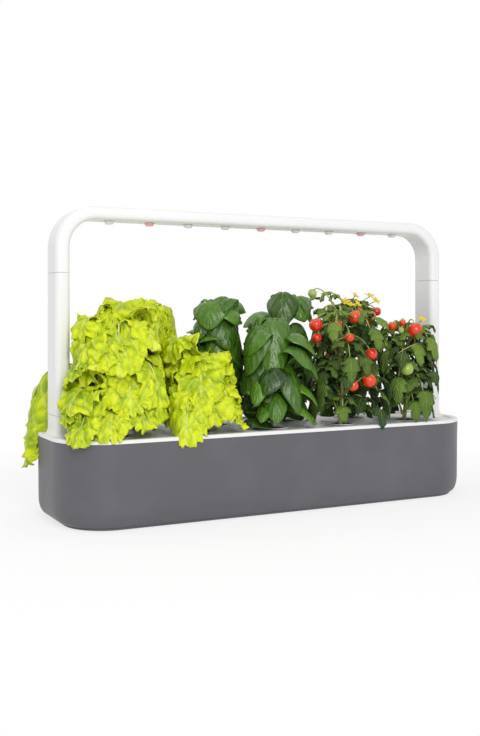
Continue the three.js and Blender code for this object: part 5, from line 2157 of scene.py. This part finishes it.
    def fruit(self, berry: Berry) -> None:
        """Draws one fruit with its green star and its stalk.

        Args:
            berry: its place, size and ripeness.
        """
        centre = self.room.press(self.at(berry.x, berry.y, berry.z)[None])[0]
        radius, sides = berry.radius, self.fruit_sides
        angle = FULL_TURN * np.arange(sides) / sides
        swell = 1 + 0.012 * np.cos(5 * angle + self.chance.uniform(0, FULL_TURN))
        rings = []
        for step in shares(self.fruit_rings) * math.pi:
            reach = max(math.sin(step), 0.01) * radius * (1 + 0.02 * math.cos(2 * step)) * swell
            z = -math.cos(step) * radius * 0.95 - 0.12 * radius * math.exp(-((math.pi - step) / 0.35) ** 2)
            rings.append(np.column_stack([reach * np.cos(angle), reach * np.sin(angle), np.full(sides, z)]))
        lean = Matrix.Rotation(self.chance.uniform(0.15, 0.5), 3, "X")
        spin = Matrix.Rotation(self.chance.uniform(0, FULL_TURN), 3, "Z")
        turned = np.array(spin @ lean)
        self.draft.loft([centre + ring @ turned.T for ring in rings],
                        finish=Skin.RIPE if berry.is_ripe else Skin.GREEN)
        crown = centre + turned @ UP * radius * 0.86
        self.star(crown, turned, radius * 0.95, radius * 0.16, -0.28, Skin.STEM, 0.35)
        height = min(berry.z + radius * 2.4, self.height * 0.88)
        root = self.at(0.002 * math.sin(7 * height / self.height), 0.0, height)
        bow = crown * 0.6 + root * 0.4
        bow[2] = max(crown[2], root[2]) + radius * 1.6
        share = shares(8)[:, None]
        path = (1 - share) ** 2 * crown + 2 * share * (1 - share) * bow + share**2 * root
        self.draft.stalk(self.room.press(path), np.full(len(path), self.fruit_stalk), 7, Skin.STEM)

    def star(self, centre: np.ndarray, turned: np.ndarray, length: float, width: float, droop: float,
             finish: int, tint: float) -> None:
        """Draws five pointed strips round a point.

        Args:
            centre: their middle.
            turned: the rotation of their plane.
            length: the length of each.
            width: the width of each.
            droop: how far the tips rise, as a share of the length.
            finish: their material.
            tint: the tint of their marks.
        """
        place = shares(6)[:, None]
        side = np.array([[-1.0, 0.0, 1.0]])
        half = width / 2 * np.sin(np.pi * np.clip(place * 0.92 + 0.08, 0, 1) ** 0.7) ** 0.8 + 0.00008
        for k in range(5):
            angle = FULL_TURN * k / 5 + self.chance.uniform(-0.15, 0.15)
            ahead = np.array([math.cos(angle), math.sin(angle), 0.0])
            beside = np.array([-ahead[1], ahead[0], 0.0])
            height = droop * length * place**1.6 + 0.06 * length * np.sin(np.pi * place)
            flat = place[..., None] * ahead * length + (side * half)[..., None] * beside
            flat = flat + height[..., None] * UP
            marks = marks_of(side, place, tint, flat.shape[:2])
            self.draft.blade(centre + flat @ turned.T, self.petal_thickness, marks, finish, finish)

    def flower(self, place: Point) -> None:
        """Draws a yellow star with its cone, on a short stalk.

        Args:
            place: where it stands, from the stem's foot, with its height above the deck.
        """
        centre = self.room.press(self.at(*place)[None])[0]
        turned = np.array(Matrix.Rotation(self.chance.uniform(0.3, 1.0), 3, "X")
                          @ Matrix.Rotation(self.chance.uniform(-0.6, 0.6), 3, "Y"))
        self.star(centre, turned, self.petal_length, self.petal_width, self.petal_rise, Skin.PETAL, 0.5)
        axis = turned @ UP
        cone = np.array([centre + axis * height for height in (-0.001, 0.001, 0.003, 0.0045)])
        self.draft.stalk(cone, np.array([0.0012, 0.0014, 0.001, 0.0004]), finish=Skin.PETAL)
        foot = self.at(0.0, 0.0, min(place[2] - 0.02, self.height * 0.9))
        share = shares(5)[:, None]
        path = (1 - share) * foot + share * (centre - axis * 0.001)
        self.draft.stalk(path, np.full(len(path), self.flower_stalk), 6, Skin.STEM)

    def shoot(self, share: float, heading: float) -> None:
        """Draws one pale side shoot that twists as it leans out and bends over.

        Args:
            share: how far up the stem it begins, from 0 to 1.
            heading: where it leans, in degrees.
        """
        steps = shares(18)
        root = self.height * (0.10 + 0.66 * share)
        reach = min(self.spread(heading), self.shoot_reach) * self.chance.uniform(0.7, 0.95)
        twist = self.chance.uniform(-50, 50) * np.sin(steps * math.pi * 1.3)
        rise = self.chance.uniform(0.020, 0.050) * np.sin(steps * math.pi * 0.8)
        path = np.array([self.towards(heading + turned, 0.002 + reach * step, root + lift)
                         for step, turned, lift in zip(steps, twist, rise)])
        self.draft.stalk(self.room.press(path), 0.0013 - 0.0008 * steps, 7, Skin.STEM, 0.6)

    def extras(self) -> None:
        """Draws the stem, its shoots, the fruit and the flowers."""
        steps = shares(14)
        path = np.array([self.at(0.002 * math.sin(7 * step), 0.002 * math.cos(6 * step),
                                 -0.006 + step * self.height * 0.96) for step in steps])
        self.draft.stalk(path, self.stem_radius - self.stem_taper * steps, 9, Skin.STEM)
        for index in range(self.shoots):
            self.shoot(index / (self.shoots - 1), 71.0 * self.number + index * GOLDEN_ANGLE)
        for berry in self.berries:
            self.fruit(berry)
        for place in self.flowers:
            self.flower(place)


LETTUCE_COURSES = (
    (
        Course(252, 0.062, 0.140, 0.078, 0.076),
        Course(206, 0.066, 0.126, 0.084, 0.070, tint=0.45),
        Course(170, 0.052, 0.136, 0.108, 0.068),
        Course(217, 0.092, 0.052, -0.006, 0.048, crest_share=0.5, tint=0.4),
        Course(186, 0.078, 0.094, 0.060, 0.072, tint=0.3),
        Course(232, 0.070, 0.030, 0.004, 0.058, tint=0.45),
        Course(266, 0.068, 0.078, 0.030, 0.068, roll=14),
        Course(243, 0.074, 0.040, 0.002, 0.056, tint=0.6, roll=-16),
        Course(303, 0.070, 0.096, 0.036, 0.076, tint=0.45),
        Course(283, 0.066, 0.050, 0.010, 0.064, tint=0.4),
        Course(195, 0.084, 0.062, 0.018, 0.066, tint=0.35),
    ),
    (
        Course(215, 0.056, 0.158, 0.132, 0.076, tint=0.6),
        Course(283, 0.046, 0.152, 0.112, 0.074),
        Course(345, 0.058, 0.128, 0.082, 0.072, tint=0.45),
        Course(176, 0.066, 0.126, 0.080, 0.070, tint=0.4),
        Course(169, 0.158, 0.082, -0.044, 0.076, crest_share=0.70, tint=0.35),
        Course(352, 0.056, 0.150, 0.118, 0.078),
        Course(310, 0.056, 0.104, 0.064, 0.070, tint=0.4),
    ),
    (
        Course(234, 0.094, 0.046, -0.010, 0.072, crest_share=0.5, tint=0.55),
        Course(243, 0.066, 0.060, 0.030, 0.066),
        Course(322, 0.044, 0.070, 0.048, 0.056, tint=0.45, roll=20),
        Course(196, 0.050, 0.116, 0.090, 0.066),
        Course(298, 0.056, 0.052, 0.020, 0.056, tint=0.7),
        Course(316, 0.074, 0.020, 0.006, 0.050, tint=0.8),
        Course(268, 0.064, 0.058, 0.014, 0.064, tint=0.6),
        Course(262, 0.040, 0.094, 0.070, 0.062, tint=0.6),
        Course(345, 0.060, 0.040, 0.012, 0.056, tint=0.45),
        Course(250, 0.058, 0.082, 0.036, 0.066, tint=0.45),
    ),
)
BASIL_COURSES = (
    (
        Course(262, 0.047, 0.124, 0.054, 0.045, 0.108, tint=0.45),
        Course(285, 0.032, 0.178, 0.152, 0.038, 0.160, tint=0.6),
        Course(293, 0.048, 0.162, 0.138, 0.050, 0.146, tint=0.75, roll=-10),
        Course(318, 0.047, 0.142, 0.074, 0.050, 0.124, tint=0.4),
        Course(326, 0.052, 0.100, 0.040, 0.050, 0.084, tint=0.3),
        Course(304, 0.050, 0.072, 0.016, 0.048, 0.056, tint=0.4),
        Course(232, 0.050, 0.170, 0.132, 0.050, 0.150, tint=0.55),
        Course(272, 0.044, 0.150, 0.104, 0.052, 0.134, tint=0.35),
        Course(202, 0.044, 0.148, 0.118, 0.036, 0.130, tint=0.4),
        Course(250, 0.054, 0.062, 0.022, 0.032, 0.050, tint=0.6),
        Course(190, 0.052, 0.112, 0.080, 0.036, 0.096, tint=0.3),
    ),
    (
        Course(200, 0.053, 0.136, 0.072, 0.048, 0.120, tint=0.4),
        Course(188, 0.055, 0.096, 0.044, 0.048, 0.080, tint=0.25),
        Course(245, 0.040, 0.142, 0.066, 0.045, 0.124),
        Course(160, 0.030, 0.152, 0.122, 0.034, 0.134, tint=0.55),
        Course(300, 0.030, 0.148, 0.120, 0.032, 0.130, tint=0.45),
        Course(288, 0.052, 0.086, 0.020, 0.041, 0.074, tint=0.4),
        Course(218, 0.062, 0.070, 0.034, 0.033, 0.056, tint=0.75),
        Course(226, 0.058, 0.034, 0.012, 0.024, 0.024, tint=0.6),
        Course(248, 0.056, 0.048, 0.010, 0.034, 0.036, tint=0.45),
        Course(315, 0.062, 0.032, 0.004, 0.028, 0.022, tint=0.85),
        Course(324, 0.068, 0.026, 0.003, 0.026, 0.018, tint=0.85),
        Course(318, 0.067, 0.060, 0.030, 0.028, 0.048, tint=0.8),
        Course(342, 0.056, 0.048, 0.012, 0.044, 0.036, tint=0.25),
    ),
    (
        Course(235, 0.045, 0.184, 0.134, 0.046, 0.164, tint=0.3),
        Course(331, 0.048, 0.174, 0.134, 0.042, 0.156),
        Course(312, 0.050, 0.122, 0.070, 0.048, 0.104, tint=0.25),
        Course(320, 0.052, 0.086, 0.030, 0.046, 0.070, tint=0.3),
        Course(290, 0.046, 0.140, 0.092, 0.040, 0.120, tint=0.4),
        Course(200, 0.046, 0.150, 0.112, 0.038, 0.134),
    ),
)
TOMATO_COURSES = (
    (
        Course(250, 0.066, 0.120, 0.070, 0.046, 0.100, tint=0.4),
        Course(290, 0.060, 0.156, 0.112, 0.042, 0.136),
        Course(210, 0.062, 0.086, 0.036, 0.044, 0.066, tint=0.35),
        Course(320, 0.062, 0.070, 0.022, 0.046, 0.050, tint=0.45),
        Course(240, 0.064, 0.040, 0.010, 0.040, 0.024),
        Course(196, 0.060, 0.058, 0.016, 0.048, 0.040, tint=0.3),
    ),
    (
        Course(255, 0.040, 0.176, 0.140, 0.040, 0.156, tint=0.55),
        Course(300, 0.046, 0.164, 0.128, 0.040, 0.146),
        Course(200, 0.050, 0.150, 0.110, 0.042, 0.130, tint=0.4),
    ),
    (
        Course(262, 0.066, 0.068, 0.022, 0.058, 0.050, tint=0.4),
        Course(300, 0.068, 0.110, 0.054, 0.048, 0.090, tint=0.45),
        Course(225, 0.066, 0.090, 0.040, 0.048, 0.070),
        Course(340, 0.060, 0.128, 0.080, 0.044, 0.108),
        Course(280, 0.052, 0.140, 0.100, 0.042, 0.120, tint=0.6),
    ),
)
BERRIES = (
    (
        Berry(-0.056, -0.016, 0.139, 0.0096), Berry(-0.053, -0.016, 0.121, 0.0070),
        Berry(-0.029, -0.036, 0.138, 0.0066), Berry(-0.003, -0.040, 0.150, 0.0086),
        Berry(-0.018, -0.050, 0.122, 0.0064), Berry(0.020, -0.048, 0.099, 0.0086),
        Berry(0.008, -0.052, 0.079, 0.0042), Berry(0.012, -0.057, 0.063, 0.0098),
        Berry(-0.017, -0.058, 0.057, 0.0080), Berry(-0.042, 0.012, 0.183, 0.0064, False),
    ),
    (
        Berry(0.011, -0.048, 0.150, 0.0092), Berry(0.044, -0.022, 0.158, 0.0068),
        Berry(-0.004, -0.036, 0.158, 0.0058), Berry(0.020, 0.044, 0.130, 0.0085),
        Berry(-0.020, 0.050, 0.110, 0.0075), Berry(0.002, 0.056, 0.092, 0.0090),
        Berry(0.036, 0.040, 0.148, 0.0078, False),
    ),
    (
        Berry(-0.006, -0.034, 0.131, 0.0111), Berry(-0.041, -0.026, 0.137, 0.0064),
        Berry(-0.026, -0.030, 0.142, 0.0050), Berry(-0.033, -0.036, 0.131, 0.0046, False),
        Berry(-0.037, -0.056, 0.077, 0.0092, False), Berry(-0.030, 0.034, 0.112, 0.0084),
        Berry(0.014, 0.038, 0.096, 0.0080),
    ),
)
FLOWERS = (
    ((-0.006, -0.036, 0.166), (0.008, -0.030, 0.168)),
    ((-0.030, -0.036, 0.172), (-0.010, -0.032, 0.181), (0.018, -0.032, 0.181), (0.038, -0.026, 0.174)),
    ((0.012, -0.026, 0.146),),
)


@dataclass
class Planting:
    """The nine plants, three of a kind, from the left."""

    rooms: Rooms
    deck: float
    lettuce_fill: int = 19
    basil_fill: int = 28
    tomato_fill: int = 25
    lettuce_heights: Point = (0.158, 0.164, 0.127)
    lettuce_slopes: Point = (0.0, 0.0, 0.42)
    basil_heights: Point = (0.170, 0.144, 0.178)
    tomato_heights: Point = (0.168, 0.186, 0.142)

    def build(self) -> None:
        """Grows every plant, one kind after another."""
        for row, height in enumerate(self.lettuce_heights):
            Lettuce(f"lettuce_{row + 1}", row + 1, self.rooms.room(row), self.deck, LETTUCE_COURSES[row],
                    self.lettuce_fill, height, seed=20 + row, slope=self.lettuce_slopes[row]).build()
        for row, height in enumerate(self.basil_heights):
            Basil(f"basil_{row + 1}", row + 4, self.rooms.room(row + 3), self.deck, BASIL_COURSES[row],
                  self.basil_fill, height, seed=40 + row).build()
        for row, height in enumerate(self.tomato_heights):
            Tomato(f"tomato_{row + 1}", row + 7, self.rooms.room(row + 6), self.deck, TOMATO_COURSES[row],
                   self.tomato_fill, height, seed=60 + row, berries=BERRIES[row],
                   flowers=FLOWERS[row]).build()


@dataclass
class Studio:
    """The pale floor, the white surroundings, the lamps and the camera."""

    camera_place: Point = (-0.6337, -1.1755, 0.2563)
    camera_turn: float = -27.08
    lens: float = 46.99
    shift: float = -0.0693
    floor_half: float = 8.0
    floor_colour: Colour = (0.95, 0.95, 0.95)
    surround: float = 0.63
    shadow_share: float = 0.27
    shadow_reach: tuple[float, float] = (0.42, 0.75)
    lamps_face: Point = (0.0, 0.0, 0.2)

    def build(self) -> None:
        """Sets up the whole studio."""
        self.build_camera()
        self.build_floor()
        self.build_world()
        self.lamp("key_lamp", (-0.5, -1.9, 1.05), 0.9, 19.0)
        self.lamp("top_lamp", (-0.3, 0.2, 2.2), 1.2, 6.0)
        self.lamp("rim_lamp", (-1.6, 1.2, 1.3), 1.0, 4.0)
        bpy.context.scene.view_settings.view_transform = "Standard"

    def build_camera(self) -> None:
        """Sets the camera at the photograph's angle."""
        data = bpy.data.cameras.new("camera")
        data.lens, data.sensor_width, data.shift_y = self.lens, 36.0, self.shift
        data.clip_start, data.clip_end = 0.05, 40.0
        camera = bpy.data.objects.new("camera", data)
        camera.location = self.camera_place
        camera.rotation_euler = (QUARTER, 0.0, math.radians(self.camera_turn))
        bpy.context.scene.collection.objects.link(camera)
        bpy.context.scene.camera = camera

    def to_lens(self, graph: Graph) -> NodeSocket:
        """Picks the rays that show the surroundings as they are: camera, glossy and transmission rays.

        Args:
            graph: the graph that asks.

        Returns:
            The output that is one for these rays and zero for others.
        """
        path = graph.add("ShaderNodeLightPath").outputs
        seen = graph.math("MAXIMUM", path["Is Camera Ray"], path["Is Glossy Ray"])
        return graph.math("MAXIMUM", seen, path["Is Transmission Ray"])

    def build_floor(self) -> None:
        """Makes a floor that fades to plain white away from the object and keeps its shadow."""
        draft, half = Draft(), self.floor_half
        draft.add(np.array([(-half, -half, 0.0), (half, -half, 0.0), (half, half, 0.0), (-half, half, 0.0)]),
                  [[0, 1, 2, 3]])
        graph = Graph("studio_floor")
        graph.shade(Base_Color=self.floor_colour, Roughness=0.9)
        glow = graph.add("ShaderNodeEmission", Color=(1.0, 1.0, 1.0), Strength=1.0)
        place = graph.add("ShaderNodeSeparateXYZ", Vector=graph.place)
        squared = [graph.math("MULTIPLY", place.outputs[axis], place.outputs[axis]) for axis in ("X", "Y")]
        distance = graph.math("SQRT", graph.math("ADD", *squared))
        share = graph.ramp(distance, *self.shadow_reach, 1.0 - self.shadow_share, 1.0)
        mixed = graph.add("ShaderNodeMixShader")
        graph.feed(mixed.inputs[0], graph.math("MULTIPLY", share, self.to_lens(graph)))
        graph.tree.links.new(graph.shader.outputs[0], mixed.inputs[1])
        graph.tree.links.new(glow.outputs[0], mixed.inputs[2])
        graph.tree.links.new(mixed.outputs[0], graph.tree.nodes["Material Output"].inputs[0])
        floor = draft.piece("studio_floor", [graph.owner], even=False)

    def build_world(self) -> None:
        """Surrounds the object with white that lights it softly."""
        graph = Graph("studio_world", is_world=True)
        bpy.context.scene.world = graph.owner
        strength = graph.add("ShaderNodeMapRange", self.to_lens(graph), 0.0, 1.0, self.surround)
        graph.shade(Color=(1.0, 1.0, 1.0), Strength=strength.outputs[0])

    def lamp(self, name: str, place: Point, size: float, power: float) -> None:
        """Hangs a square softbox that faces the object.

        Args:
            name: its name.
            place: where it hangs.
            size: the length of its side.
            power: its power in watts.
        """
        data = bpy.data.lights.new(name, "AREA")
        data.shape, data.size, data.energy = "SQUARE", size, power
        lamp = bpy.data.objects.new(name, data)
        lamp.location = place
        towards = Vector(self.lamps_face) - Vector(place)
        lamp.rotation_euler = towards.to_track_quat("-Z", "Y").to_euler()
        bpy.context.scene.collection.objects.link(lamp)


def main() -> None:
    """Builds every sub-assembly around the frame."""
    logging.basicConfig(level=logging.INFO, format="%(message)s")
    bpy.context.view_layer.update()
    Studio().build()
    tank, leg = Tank(), LegSection()
    tank.build()
    lid = Lid(tank, leg)
    lid.build()
    Posts(leg).build()
    LampArch(leg).build()
    Boards().build()
    Cups().build()
    Planting(Rooms(tank, leg, lid.top), lid.deck_top).build()


if __name__ == "__main__":
    main()
